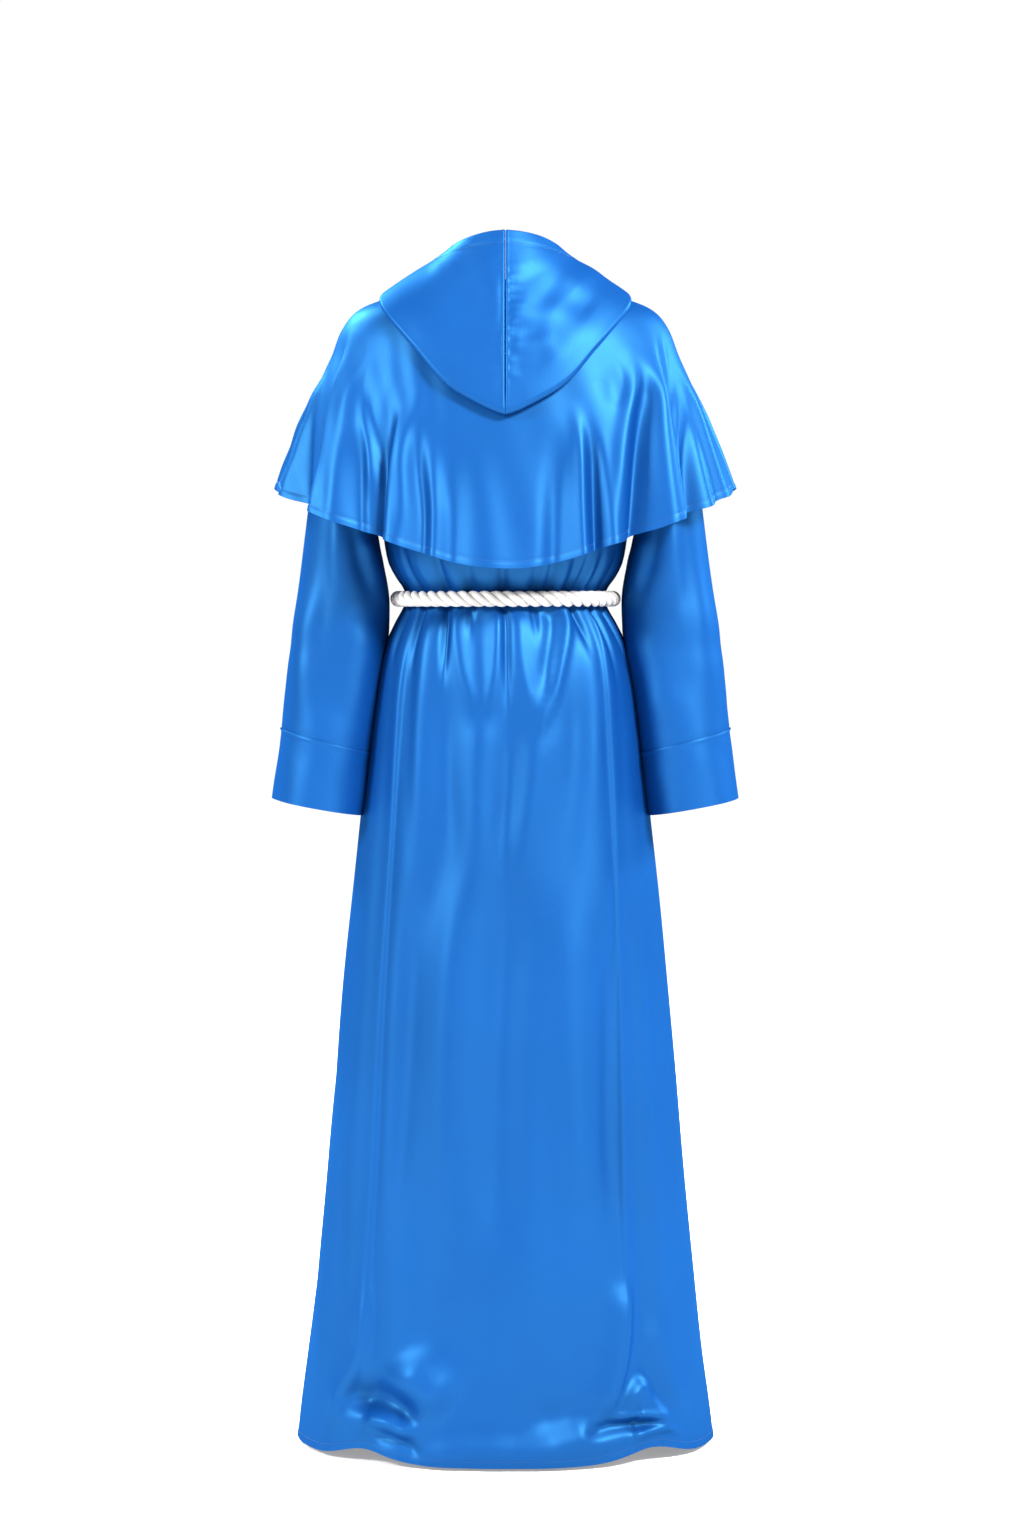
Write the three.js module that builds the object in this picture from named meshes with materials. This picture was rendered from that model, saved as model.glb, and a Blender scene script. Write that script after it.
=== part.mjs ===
// A monk's costume in its worn form: a long belted robe with wide sleeves, a shoulder cape with its
// hood thrown back, and a twisted rope belt. Every piece of cloth is a hollow wall.
// Millimetres, +Z up, +Y to the front. The origin is the middle of the neckline.
import * as THREE from "three";

const ORIGIN_ABOVE_GROUND = 1460;
const CLOTH = 2;
const SEAM_GAP = 0.3;
const SQUARENESS = 2.2;
const DIP_SHARPNESS = 1.2;
const ARMHOLE_PLANE = 165;

const BELT_HEIGHT = 1080;
const ROPE_RADIUS = 10;
const ROPE_SIDES = 8;

// How many columns of faces each piece has across or around it.
const COLUMNS = {
  robeBack: 40,
  robeFront: 28,
  capeBack: 40,
  capeFront: 26,
  sleeve: 18,
  hoodHalf: 16,
  belt: 48,
};

const SATIN = new THREE.MeshStandardMaterial({ color: 0x1f6fd6, roughness: 0.38, metalness: 0 });
const COTTON = new THREE.MeshStandardMaterial({ color: 0xe9e2dc, roughness: 0.85, metalness: 0 });

const SEARCH_STEPS = 40;

const radians = THREE.MathUtils.degToRad;
const smooth = THREE.MathUtils.smoothstep;
const mix = THREE.MathUtils.lerp;

// Sections of the cape from its neckline to its hem. Heights are above the ground at the side, back and
// front of the section, width is the half width, and backDepth and frontDepth are the half depths.
const CAPE_SECTIONS = [
  { side: 1474, back: 1481, front: 1448, width: 82, backDepth: 72, frontDepth: 70 },
  { side: 1468, back: 1470, front: 1434, width: 113, backDepth: 85, frontDepth: 84 },
  { side: 1460, back: 1452, front: 1413, width: 157, backDepth: 101, frontDepth: 98 },
  { side: 1446, back: 1430, front: 1390, width: 189, backDepth: 114, frontDepth: 110 },
  { side: 1423, back: 1402, front: 1364, width: 208, backDepth: 124, frontDepth: 119 },
  { side: 1388, back: 1362, front: 1330, width: 222, backDepth: 134, frontDepth: 128 },
  { side: 1346, back: 1310, front: 1284, width: 241, backDepth: 145, frontDepth: 139 },
  { side: 1303, back: 1250, front: 1234, width: 259, backDepth: 155, frontDepth: 149 },
  { side: 1261, back: 1184, front: 1180, width: 276, backDepth: 165, frontDepth: 159 },
  { side: 1222, back: 1117, front: 1124, width: 291, backDepth: 175, frontDepth: 169 },
];

// The robe from just below its shoulders to its hem. Above this it follows the cape that lies on it.
const ROBE_SECTIONS = [
  { side: 1412, back: 1392, front: 1356, width: 190, backDepth: 116, frontDepth: 110 },
  { side: 1308, back: 1290, front: 1270, width: 187, backDepth: 124, frontDepth: 119 },
  { side: 1256, back: 1240, front: 1230, width: 175, backDepth: 124, frontDepth: 120 },
  { side: 1215, back: 1205, front: 1200, width: 163, backDepth: 123, frontDepth: 119 },
  { side: 1136, back: 1136, front: 1136, width: 152, backDepth: 118, frontDepth: 114 },
  { side: 1110, back: 1110, front: 1110, width: 142, backDepth: 111, frontDepth: 108 },
  { side: 1094, back: 1094, front: 1094, width: 131, backDepth: 102, frontDepth: 100 },
  { side: 1080, back: 1080, front: 1080, width: 127, backDepth: 98, frontDepth: 96 },
  { side: 1066, back: 1066, front: 1066, width: 132, backDepth: 103, frontDepth: 100 },
  { side: 1045, back: 1045, front: 1045, width: 144, backDepth: 114, frontDepth: 108 },
  { side: 1015, back: 1015, front: 1015, width: 157, backDepth: 123, frontDepth: 115 },
  { side: 965, back: 965, front: 965, width: 167, backDepth: 132, frontDepth: 121 },
  { side: 895, back: 895, front: 895, width: 175, backDepth: 140, frontDepth: 127 },
  { side: 797, back: 797, front: 797, width: 186, backDepth: 149, frontDepth: 135 },
  { side: 640, back: 640, front: 640, width: 203, backDepth: 162, frontDepth: 148 },
  { side: 460, back: 460, front: 460, width: 220, backDepth: 174, frontDepth: 161 },
  { side: 280, back: 280, front: 280, width: 236, backDepth: 185, frontDepth: 173 },
  { side: 130, back: 130, front: 130, width: 252, backDepth: 195, frontDepth: 183 },
  { side: 50, back: 50, front: 50, width: 262, backDepth: 202, frontDepth: 189 },
  { side: 6, back: 4, front: 6, width: 267, backDepth: 206, frontDepth: 192 },
];

// Troughs pressed into the cape. Each runs from its top, where it starts from nothing, to the hem.
// Bearings are in degrees from the middle of the back, positive towards +X; the rest is in millimetres.
const CAPE_FOLDS = [
  { top: 1340, topBearing: -80, lowBearing: -72, width: 17, depth: 24 },
  { top: 1350, topBearing: -57, lowBearing: -58, width: 13, depth: 11 },
  { top: 1370, topBearing: -47, lowBearing: -43, width: 13, depth: 19 },
  { top: 1330, topBearing: -34, lowBearing: -31, width: 11, depth: 11 },
  { top: 1300, topBearing: -18, lowBearing: -20, width: 14, depth: 7 },
  { top: 1300, topBearing: 20, lowBearing: 17, width: 13, depth: 12 },
  { top: 1330, topBearing: 31, lowBearing: 34, width: 9, depth: 11 },
  { top: 1395, topBearing: 51, lowBearing: 47, width: 14, depth: 20 },
  { top: 1400, topBearing: 64, lowBearing: 67, width: 14, depth: 22 },
  { top: 1360, topBearing: 76, lowBearing: 77, width: 12, depth: 13 },
  { top: 1350, topBearing: 100, lowBearing: 103, width: 15, depth: 20 },
  { top: 1330, topBearing: 122, lowBearing: 120, width: 15, depth: 15 },
  { top: 1310, topBearing: 141, lowBearing: 143, width: 13, depth: 17 },
  { top: 1280, topBearing: 163, lowBearing: 162, width: 13, depth: 9 },
  { top: 1280, topBearing: 189, lowBearing: 191, width: 13, depth: 10 },
  { top: 1310, topBearing: 212, lowBearing: 214, width: 14, depth: 16 },
  { top: 1330, topBearing: 235, lowBearing: 233, width: 14, depth: 13 },
  { top: 1350, topBearing: 257, lowBearing: 255, width: 15, depth: 21 },
];

// Gathers under the rope. Each is deepest just above and below the belt and dies out at top and low.
const GATHERS = [
  { top: 1170, low: 960, beltBearing: -74, lowBearing: -76, width: 10, depth: 8 },
  { top: 1180, low: 900, beltBearing: -60, lowBearing: -62, width: 10, depth: 9 },
  { top: 1160, low: 930, beltBearing: -47, lowBearing: -46, width: 10, depth: 8 },
  { top: 1190, low: 900, beltBearing: -34, lowBearing: -29, width: 10, depth: 11 },
  { top: 1150, low: 930, beltBearing: -25, lowBearing: -16, width: 9, depth: 8 },
  { top: 1150, low: 980, beltBearing: -12, lowBearing: -10, width: 10, depth: 5 },
  { top: 1180, low: 850, beltBearing: 1, lowBearing: 3, width: 11, depth: 10 },
  { top: 1150, low: 960, beltBearing: 12, lowBearing: 11, width: 10, depth: 5 },
  { top: 1190, low: 900, beltBearing: 23, lowBearing: 16, width: 10, depth: 11 },
  { top: 1160, low: 900, beltBearing: 35, lowBearing: 33, width: 10, depth: 8 },
  { top: 1180, low: 930, beltBearing: 48, lowBearing: 50, width: 10, depth: 10 },
  { top: 1160, low: 950, beltBearing: 62, lowBearing: 64, width: 10, depth: 9 },
  { top: 1170, low: 960, beltBearing: 75, lowBearing: 76, width: 10, depth: 8 },
  { top: 1170, low: 960, beltBearing: 104, lowBearing: 102, width: 11, depth: 8 },
  { top: 1190, low: 900, beltBearing: 120, lowBearing: 117, width: 11, depth: 10 },
  { top: 1160, low: 940, beltBearing: 134, lowBearing: 132, width: 11, depth: 8 },
  { top: 1190, low: 880, beltBearing: 148, lowBearing: 147, width: 11, depth: 11 },
  { top: 1160, low: 930, beltBearing: 162, lowBearing: 163, width: 11, depth: 8 },
  { top: 1190, low: 860, beltBearing: 180, lowBearing: 181, width: 11, depth: 11 },
  { top: 1160, low: 940, beltBearing: 197, lowBearing: 196, width: 11, depth: 8 },
  { top: 1190, low: 880, beltBearing: 211, lowBearing: 213, width: 11, depth: 11 },
  { top: 1160, low: 930, beltBearing: 226, lowBearing: 228, width: 11, depth: 8 },
  { top: 1180, low: 910, beltBearing: 241, lowBearing: 243, width: 11, depth: 9 },
  { top: 1170, low: 960, beltBearing: 256, lowBearing: 258, width: 11, depth: 8 },
];

// Long soft folds of the skirt, from their top down to low, deepest in between.
const SKIRT_FOLDS = [
  { top: 1010, low: -200, topBearing: -58, lowBearing: -44, width: 26, depth: 9 },
  { top: 960, low: 100, topBearing: -34, lowBearing: -33, width: 30, depth: 9 },
  { top: 980, low: 250, topBearing: 3, lowBearing: -7, width: 34, depth: 11 },
  { top: 900, low: 0, topBearing: 22, lowBearing: 19, width: 30, depth: 8 },
  { top: 960, low: -200, topBearing: 54, lowBearing: 46, width: 24, depth: 10 },
  { top: 900, low: 60, topBearing: 72, lowBearing: 66, width: 26, depth: 7 },
  { top: 900, low: -200, topBearing: 106, lowBearing: 112, width: 28, depth: 9 },
  { top: 970, low: -200, topBearing: 136, lowBearing: 139, width: 28, depth: 12 },
  { top: 930, low: -200, topBearing: 160, lowBearing: 163, width: 26, depth: 10 },
  { top: 980, low: -200, topBearing: 184, lowBearing: 187, width: 28, depth: 12 },
  { top: 930, low: -200, topBearing: 207, lowBearing: 211, width: 26, depth: 10 },
  { top: 970, low: -200, topBearing: 231, lowBearing: 234, width: 28, depth: 12 },
  { top: 900, low: -200, topBearing: 257, lowBearing: 250, width: 28, depth: 9 },
];

// Where the skirt breaks just above the ground: swells stand out, hollows are pressed in.
const HEM_BREAKS = [
  { bearing: -44, height: 62, across: 30, up: 26, out: 9 },
  { bearing: -38, height: 92, across: 42, up: 15, out: -9 },
  { bearing: -30, height: 34, across: 20, up: 12, out: -9 },
  { bearing: 37, height: 66, across: 34, up: 26, out: 9 },
  { bearing: 30, height: 36, across: 34, up: 12, out: -10 },
  { bearing: 47, height: 30, across: 16, up: 12, out: -7 },
];

// Where the hem is lifted off the ground at the back.
const HEM_LIFTS = [
  { bearing: -48, across: 46, rise: 14 },
  { bearing: 47, across: 23, rise: 25 },
];

// The right sleeve from just outside the armhole to the cuff seam: the inner and outer end of each
// section as seen from behind, and its half depth. Where a section reaches into the skirt, the sleeve
// rests on the skirt's side instead.
const SLEEVE_SECTIONS = [
  { innerX: 168, inner: 1212, outerX: 196, outer: 1419, depth: 72 },
  { innerX: 168, inner: 1196, outerX: 218, outer: 1378, depth: 74 },
  { innerX: 167, inner: 1176, outerX: 233, outer: 1318, depth: 74 },
  { innerX: 163, inner: 1152, outerX: 245, outer: 1236, depth: 73 },
  { innerX: 157, inner: 1124, outerX: 256, outer: 1152, depth: 73 },
  { innerX: 149.5, inner: 1082, outerX: 264, outer: 1092, depth: 74 },
  { innerX: 150, inner: 1036, outerX: 271, outer: 1048, depth: 76 },
  { innerX: 152, inner: 1006, outerX: 274, outer: 1020, depth: 77 },
  { innerX: 157, inner: 976, outerX: 278, outer: 992, depth: 79 },
  { innerX: 163, inner: 930, outerX: 282, outer: 952, depth: 81 },
  { innerX: 169, inner: 882, outerX: 286, outer: 913, depth: 83 },
];
const CUFF_SECTIONS = [
  { innerX: 169, inner: 881.4, outerX: 286, outer: 912.4, depth: 83 },
  { innerX: 173.5, inner: 842, outerX: 292, outer: 868, depth: 84.5 },
  { innerX: 178, inner: 804, outerX: 298, outer: 826, depth: 86 },
];
const SLEEVE_CLEARANCE = 1.2;

// The hood thrown back on the cape. fold is the height where the pouch turns up again, edgeOut and
// edge are the distance and height of the edge of the hood's mouth, bulge is how full the pouch is, and
// thickness is that of its bottom.
const HOOD_SECTIONS = [
  { bearing: 0, fold: 1311, edgeOut: 92, edge: 1541, bulge: 13, thickness: 11 },
  { bearing: 15, fold: 1327, edgeOut: 91, edge: 1539, bulge: 13, thickness: 11 },
  { bearing: 30, fold: 1352, edgeOut: 89, edge: 1534, bulge: 12, thickness: 11 },
  { bearing: 45, fold: 1396, edgeOut: 87, edge: 1527, bulge: 9, thickness: 10 },
  { bearing: 60, fold: 1434, edgeOut: 84, edge: 1520, bulge: 5, thickness: 8 },
  { bearing: 75, fold: 1457, edgeOut: 82, edge: 1515, bulge: 3, thickness: 6.5 },
  { bearing: 90, fold: 1463, edgeOut: 80, edge: 1511, bulge: 2, thickness: 6.5 },
  { bearing: 110, fold: 1454, edgeOut: 80, edge: 1503, bulge: 4, thickness: 8 },
  { bearing: 130, fold: 1431, edgeOut: 82, edge: 1490, bulge: 7, thickness: 9 },
  { bearing: 150, fold: 1413, edgeOut: 84, edge: 1475, bulge: 7, thickness: 9 },
  { bearing: 168, fold: 1408, edgeOut: 84, edge: 1461, bulge: 5, thickness: 9 },
  { bearing: 180, fold: 1410, edgeOut: 82, edge: 1455, bulge: 4, thickness: 9 },
];
const HOOD_COLUMNS = ["fold", "edgeOut", "edge", "bulge", "thickness"];
const HOOD_CLEARANCE = 3.8;
// Places along the hood's cloth: 0 is the neck seam, 1 the bottom of the pouch, 2 the mouth's edge.
const HOOD_FOLD_END = 1.12;
const HOOD_ALONG = [0, 0.15, 0.35, 0.6, 0.82, 1, 1.04, 1.08, HOOD_FOLD_END, 1.25, 1.42, 1.6, 1.8, 2];

// The rope is tied in front. Its two ends hang from the knot, and each ends in a knot of its own.
const KNOT = { width: 46, height: 38, depth: 26 };
const TIP = { width: 30, height: 34 };
const TAILS = [
  { name: "left", side: -1, length: 350, topX: 11, lowX: 21 },
  { name: "right", side: 1, length: 400, topX: 11, lowX: 27 },
];
const TAIL_STEPS = 9;
const TAIL_CLEARANCE = { top: 0.6, low: 7 };

// A value between the rows of a table, by a smooth curve through the rows' own values.
function between(rows, at, column) {
  const last = rows.length - 1;
  const i = Math.min(Math.max(Math.floor(at), 0), last - 1);
  const t = at - i;
  const [a, b, c, d] = [i - 1, i, i + 1, i + 2].map((k) => rows[Math.min(Math.max(k, 0), last)][column]);
  const slopeB = (c - a) / 2;
  const slopeC = (d - b) / 2;
  const t2 = t * t;
  const t3 = t2 * t;
  return b * (2 * t3 - 3 * t2 + 1) + slopeB * (t3 - 2 * t2 + t) + c * (3 * t2 - 2 * t3) + slopeC * (t3 - t2);
}

const SECTION_COLUMNS = ["side", "back", "front", "width", "backDepth", "frontDepth"];

function sectionAt(rows, at) {
  return Object.fromEntries(SECTION_COLUMNS.map((column) => [column, between(rows, at, column)]));
}

// The same sections, moved inwards square to the cloth at the side, back and front. They start a
// sewn seam's gap below the cloth that lies on them and draw away from it by as much at each row.
function inset(rows) {
  return rows.map((row, i) => {
    const distance = CLOTH + SEAM_GAP * (i + 1.5);
    const above = rows[Math.max(i - 1, 0)];
    const below = rows[Math.min(i + 1, rows.length - 1)];
    const moved = {};
    for (const [height, out] of [["side", "width"], ["back", "backDepth"], ["front", "frontDepth"]]) {
      const fall = above[height] - below[height];
      const spread = below[out] - above[out];
      const length = Math.hypot(fall, spread);
      moved[height] = row[height] - (distance * spread) / length;
      moved[out] = row[out] - (distance * fall) / length;
    }
    return moved;
  });
}

function radiusAt(section, bearing) {
  const depth = Math.cos(bearing) > 0 ? section.backDepth : section.frontDepth;
  const across = Math.abs(Math.sin(bearing)) / section.width;
  const along = Math.abs(Math.cos(bearing)) / depth;
  return (across ** SQUARENESS + along ** SQUARENESS) ** (-1 / SQUARENESS);
}

function heightAt(section, bearing) {
  const end = Math.cos(bearing) > 0 ? section.back : section.front;
  return mix(section.side, end, Math.abs(Math.cos(bearing)) ** DIP_SHARPNESS);
}

// The place between two ends where a test turns from false to true.
function turningPlace(from, to, isPast) {
  let [before, after] = [from, to];
  for (let k = 0; k < SEARCH_STEPS; k++) {
    const middle = (before + after) / 2;
    if (isPast(middle)) after = middle;
    else before = middle;
  }
  return after;
}

// The smallest turn between two bearings, in radians.
function turn(bearing, other) {
  return Math.atan2(Math.sin(bearing - other), Math.cos(bearing - other));
}

function capeFoldDepth(bearing, height, radius, hem) {
  let depth = 0;
  for (const fold of CAPE_FOLDS) {
    const down = THREE.MathUtils.clamp((fold.top - height) / (fold.top - hem), 0, 1);
    const middle = radians(mix(fold.topBearing, fold.lowBearing, down));
    const away = (turn(bearing, middle) * radius) / (fold.width * mix(0.6, 1, down));
    depth += fold.depth * down ** 1.3 * Math.exp(-away * away);
  }
  return depth;
}

function gatherDepth(bearing, height, radius) {
  const pinch = smooth(Math.abs(height - BELT_HEIGHT), 4, 26);
  let depth = 0;
  for (const fold of GATHERS) {
    const share = height > BELT_HEIGHT
      ? (height - BELT_HEIGHT) / (fold.top - BELT_HEIGHT)
      : (BELT_HEIGHT - height) / (BELT_HEIGHT - fold.low);
    if (share >= 1) continue;
    const lean = height > BELT_HEIGHT ? 0 : share;
    const middle = radians(mix(fold.beltBearing, fold.lowBearing, lean));
    const away = (turn(bearing, middle) * radius) / (fold.width * (1 + 1.6 * share));
    depth += fold.depth * mix(0.25, 1, pinch) * (1 - share) * Math.exp(-away * away);
  }
  return depth;
}

function skirtFoldDepth(bearing, height, radius) {
  let depth = 0;
  for (const fold of SKIRT_FOLDS) {
    const share = (fold.top - height) / (fold.top - fold.low);
    if (share <= 0 || share >= 1) continue;
    const middle = radians(mix(fold.topBearing, fold.lowBearing, share));
    const away = (turn(bearing, middle) * radius) / fold.width;
    depth += fold.depth * Math.sin(Math.PI * share ** 0.8) * Math.exp(-away * away);
  }
  return depth;
}

function hemBreak(bearing, height, radius) {
  let out = 0;
  for (const spot of HEM_BREAKS) {
    const across = (turn(bearing, radians(spot.bearing)) * radius) / spot.across;
    const up = (height - spot.height) / spot.up;
    out += spot.out * Math.exp(-across * across - up * up);
  }
  return out;
}

function hemLift(bearing, height, radius) {
  let rise = 0;
  for (const lift of HEM_LIFTS) {
    const across = (turn(bearing, radians(lift.bearing)) * radius) / lift.across;
    rise += lift.rise * Math.exp(-across * across) * (1 - smooth(height, 0, 90));
  }
  return rise;
}

function polar(radius, bearing, height) {
  return new THREE.Vector3(radius * Math.sin(bearing), -radius * Math.cos(bearing), height);
}

// The robe's shoulders lie under this many rows of the cape.
const RESTING_ROWS = 4;
const ROBE_TABLE = [...inset(CAPE_SECTIONS).slice(0, RESTING_ROWS), ...ROBE_SECTIONS];

const BELT_ROW = ROBE_TABLE.findIndex((row) => row.side === BELT_HEIGHT);

function capePoint(bearing, at) {
  const section = sectionAt(CAPE_SECTIONS, at);
  const height = heightAt(section, bearing);
  const base = radiusAt(section, bearing);
  const hem = heightAt(CAPE_SECTIONS[CAPE_SECTIONS.length - 1], bearing);
  return polar(base - capeFoldDepth(bearing, height, base, hem), bearing, height);
}

function robePoint(bearing, at) {
  const section = sectionAt(ROBE_TABLE, at);
  const height = heightAt(section, bearing);
  const base = radiusAt(section, bearing);
  const folds = gatherDepth(bearing, height, base) + skirtFoldDepth(bearing, height, base);
  const radius = base - folds + hemBreak(bearing, height, base);
  return polar(radius, bearing, height + hemLift(bearing, height, base));
}

// The bearing where a robe panel ends: its side seam, or the armhole where the robe is wider than that.
function panelEdge(at, front) {
  const { width, backDepth, frontDepth } = sectionAt(ROBE_TABLE, at);
  const seam = Math.PI / 2 - SEAM_GAP / 2 / width;
  const plane = ARMHOLE_PLANE - SEAM_GAP / 2;
  if (width <= plane || at >= BELT_ROW) return seam;
  const depth = front ? frontDepth : backDepth;
  const across = depth * (1 - (plane / width) ** SQUARENESS) ** (1 / SQUARENESS);
  return Math.min(seam, Math.atan2(plane, across));
}

// The outward normal of a surface(bearing, at), whose at grows downwards.
function normalAt(surface, bearing, at) {
  const step = 1e-3;
  const around = surface(bearing + step, at).sub(surface(bearing - step, at));
  const upwards = surface(bearing, at - step).sub(surface(bearing, at + step));
  return around.cross(upwards).normalize();
}

// Joins an outer and an inner skin of rows x columns points into one closed wall.
function shell(outer, inner, wraps) {
  const rows = outer.length;
  const columns = outer[0].length;
  const positions = [...outer.flat(), ...inner.flat()].flatMap((p) => [p.x, p.y, p.z]);
  const out = (i, j) => i * columns + (j % columns);
  const within = (i, j) => rows * columns + out(i, j);
  const index = [];
  const quad = (a, b, c, d) => index.push(a, b, c, a, c, d);
  const spans = wraps ? columns : columns - 1;
  for (let j = 0; j < spans; j++) {
    for (let i = 0; i < rows - 1; i++) {
      quad(out(i, j), out(i, j + 1), out(i + 1, j + 1), out(i + 1, j));
      quad(within(i, j), within(i + 1, j), within(i + 1, j + 1), within(i, j + 1));
    }
    quad(out(0, j), within(0, j), within(0, j + 1), out(0, j + 1));
    quad(out(rows - 1, j), out(rows - 1, j + 1), within(rows - 1, j + 1), within(rows - 1, j));
  }
  for (let i = 0; i < rows - 1 && !wraps; i++) {
    quad(out(i, 0), out(i + 1, 0), within(i + 1, 0), within(i, 0));
    quad(out(i, columns - 1), within(i, columns - 1), within(i + 1, columns - 1), out(i + 1, columns - 1));
  }
  const geometry = new THREE.BufferGeometry();
  geometry.setAttribute("position", new THREE.Float32BufferAttribute(positions, 3));
  geometry.setIndex(index);
  geometry.computeVertexNormals();
  return geometry;
}

const spread = (from, to, count) => Array.from({ length: count + 1 }, (_, k) => mix(from, to, k / count));

// A panel of cloth on a surface(bearing, at), through its rows from the lowest up. It reaches as far
// as edge(at) to each side of its middle bearing.
function panel(surface, rows, middle, edge, columns) {
  const outer = [];
  const inner = [];
  for (const at of rows) {
    const bearings = spread(middle - edge(at), middle + edge(at), columns);
    const points = bearings.map((bearing) => surface(bearing, at));
    outer.push(points);
    inner.push(points.map((p, k) => p.clone().addScaledVector(normalAt(surface, bearings[k], at), -CLOTH)));
  }
  return shell(outer, inner, false);
}

const costume = new THREE.Group();
costume.position.z = -ORIGIN_ABOVE_GROUND;

function add(name, geometry, material) {
  const mesh = new THREE.Mesh(geometry, material);
  mesh.name = name;
  costume.add(mesh);
}

// The row, between two others, where the robe is as wide as the armholes are apart.
function armholeRow(narrow, wide) {
  return turningPlace(narrow, wide, (at) => sectionAt(ROBE_TABLE, at).width > ARMHOLE_PLANE);
}

const SHOULDER_ROW = armholeRow(2, RESTING_ROWS);
const UNDERARM_ROW = armholeRow(RESTING_ROWS + 4, RESTING_ROWS);
const byNumber = (a, b) => a - b;
const ROBE_ROWS = [...ROBE_TABLE.keys(), SHOULDER_ROW, UNDERARM_ROW].sort(byNumber).reverse();
const ARMHOLE_ROWS = ROBE_ROWS.filter((at) => at >= SHOULDER_ROW && at <= UNDERARM_ROW).reverse();
const CAPE_ROWS = [...CAPE_SECTIONS.keys(), SHOULDER_ROW].sort(byNumber).reverse();

const capeEdge = (at) => Math.PI / 2 - SEAM_GAP / 2 / sectionAt(CAPE_SECTIONS, at).width;
const robeBackEdge = (at) => panelEdge(at, false);
const robeFrontEdge = (at) => panelEdge(at, true);
add("robe_back", panel(robePoint, ROBE_ROWS, 0, robeBackEdge, COLUMNS.robeBack), SATIN);
add("robe_front", panel(robePoint, ROBE_ROWS, Math.PI, robeFrontEdge, COLUMNS.robeFront), SATIN);
add("cape_back", panel(capePoint, CAPE_ROWS, 0, capeEdge, COLUMNS.capeBack), SATIN);
add("cape_front", panel(capePoint, CAPE_ROWS, Math.PI, capeEdge, COLUMNS.capeFront), SATIN);

// A point on the armhole's edge, from 0 at the shoulder round the front to half a turn at the underarm.
function armholePoint(angle) {
  const front = Math.sin(angle) > 0;
  const bearingAt = (at) => (front ? Math.PI - robeFrontEdge(at) : robeBackEdge(at));
  const edge = ARMHOLE_ROWS.map((at) => robePoint(bearingAt(at), at));
  const [top, bottom] = [edge[0].z, edge[edge.length - 1].z];
  const height = mix(bottom, top, (1 + Math.cos(angle)) / 2);
  const next = Math.max(1, edge.findIndex((p) => p.z <= height + 1e-6));
  const share = (edge[next - 1].z - height) / (edge[next - 1].z - edge[next].z);
  const point = edge[next - 1].clone().lerp(edge[next], share);
  return point.setX(ARMHOLE_PLANE + SEAM_GAP / 2);
}

function sleeveRing(row, angle) {
  const half = new THREE.Vector3(row.outerX - row.innerX, 0, row.outer - row.inner).multiplyScalar(0.5);
  const middle = new THREE.Vector3(row.innerX, 0, row.inner).add(half);
  const round = (value) => Math.sign(value) * Math.abs(value) ** (2 / SQUARENESS);
  const forward = new THREE.Vector3(0, row.depth * round(Math.sin(angle)), 0);
  return restOnSkirt(middle.addScaledVector(half, round(Math.cos(angle))).add(forward));
}

function restOnSkirt(point) {
  if (point.z > BELT_HEIGHT) return point;
  const skirt = robeOutline(Math.atan2(point.x, -point.y), point.z);
  const distance = Math.hypot(point.x, point.y);
  const least = Math.hypot(skirt.x, skirt.y) + SLEEVE_CLEARANCE;
  return distance < least ? point.multiply(new THREE.Vector3(least / distance, least / distance, 1)) : point;
}

// A tube of cloth through rings of points. side is 1 for the right sleeve and -1 for the left.
function tube(rings, side) {
  const count = rings[0].length;
  const outer = rings.map((ring) => ring.map((p) => p.clone()));
  const inner = rings.map((ring, i) => ring.map((p, j) => {
    const around = ring[(j + 1) % count].clone().sub(ring[(j + count - 1) % count]);
    const along = rings[Math.min(i + 1, rings.length - 1)][j].clone().sub(rings[Math.max(i - 1, 0)][j]);
    const moved = p.clone().addScaledVector(along.cross(around).normalize(), -CLOTH);
    if (i === 0 && rings === sleeveRings) moved.x = p.x;
    return moved;
  }));
  for (const p of [...outer.flat(), ...inner.flat()]) p.x *= side;
  return side > 0 ? shell(outer.reverse(), inner.reverse(), true) : shell(outer, inner, true);
}

const angles = spread(0, 2 * Math.PI, COLUMNS.sleeve).slice(0, COLUMNS.sleeve);
const sleeveRings = [
  angles.map(armholePoint),
  ...SLEEVE_SECTIONS.map((row) => angles.map((angle) => sleeveRing(row, angle))),
];
const cuffRings = CUFF_SECTIONS.map((row) => angles.map((angle) => sleeveRing(row, angle)));
for (const [name, side] of [["left", -1], ["right", 1]]) {
  add(`sleeve_${name}`, tube(sleeveRings, side), SATIN);
  add(`cuff_${name}`, tube(cuffRings, side), SATIN);
}

// The row of the cape, counted from its neckline, where it has this height at this bearing.
function capeRowAt(bearing, height) {
  return turningPlace(0, CAPE_SECTIONS.length - 1, (at) => capePoint(bearing, at).z <= height);
}

function hoodSection(bearing) {
  const degrees = THREE.MathUtils.radToDeg(Math.abs(turn(bearing, 0)));
  const next = Math.max(1, HOOD_SECTIONS.findIndex((row) => row.bearing >= degrees - 1e-9));
  const span = HOOD_SECTIONS[next].bearing - HOOD_SECTIONS[next - 1].bearing;
  const at = next - 1 + (degrees - HOOD_SECTIONS[next - 1].bearing) / span;
  return Object.fromEntries(HOOD_COLUMNS.map((column) => [column, between(HOOD_SECTIONS, at, column)]));
}

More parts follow.
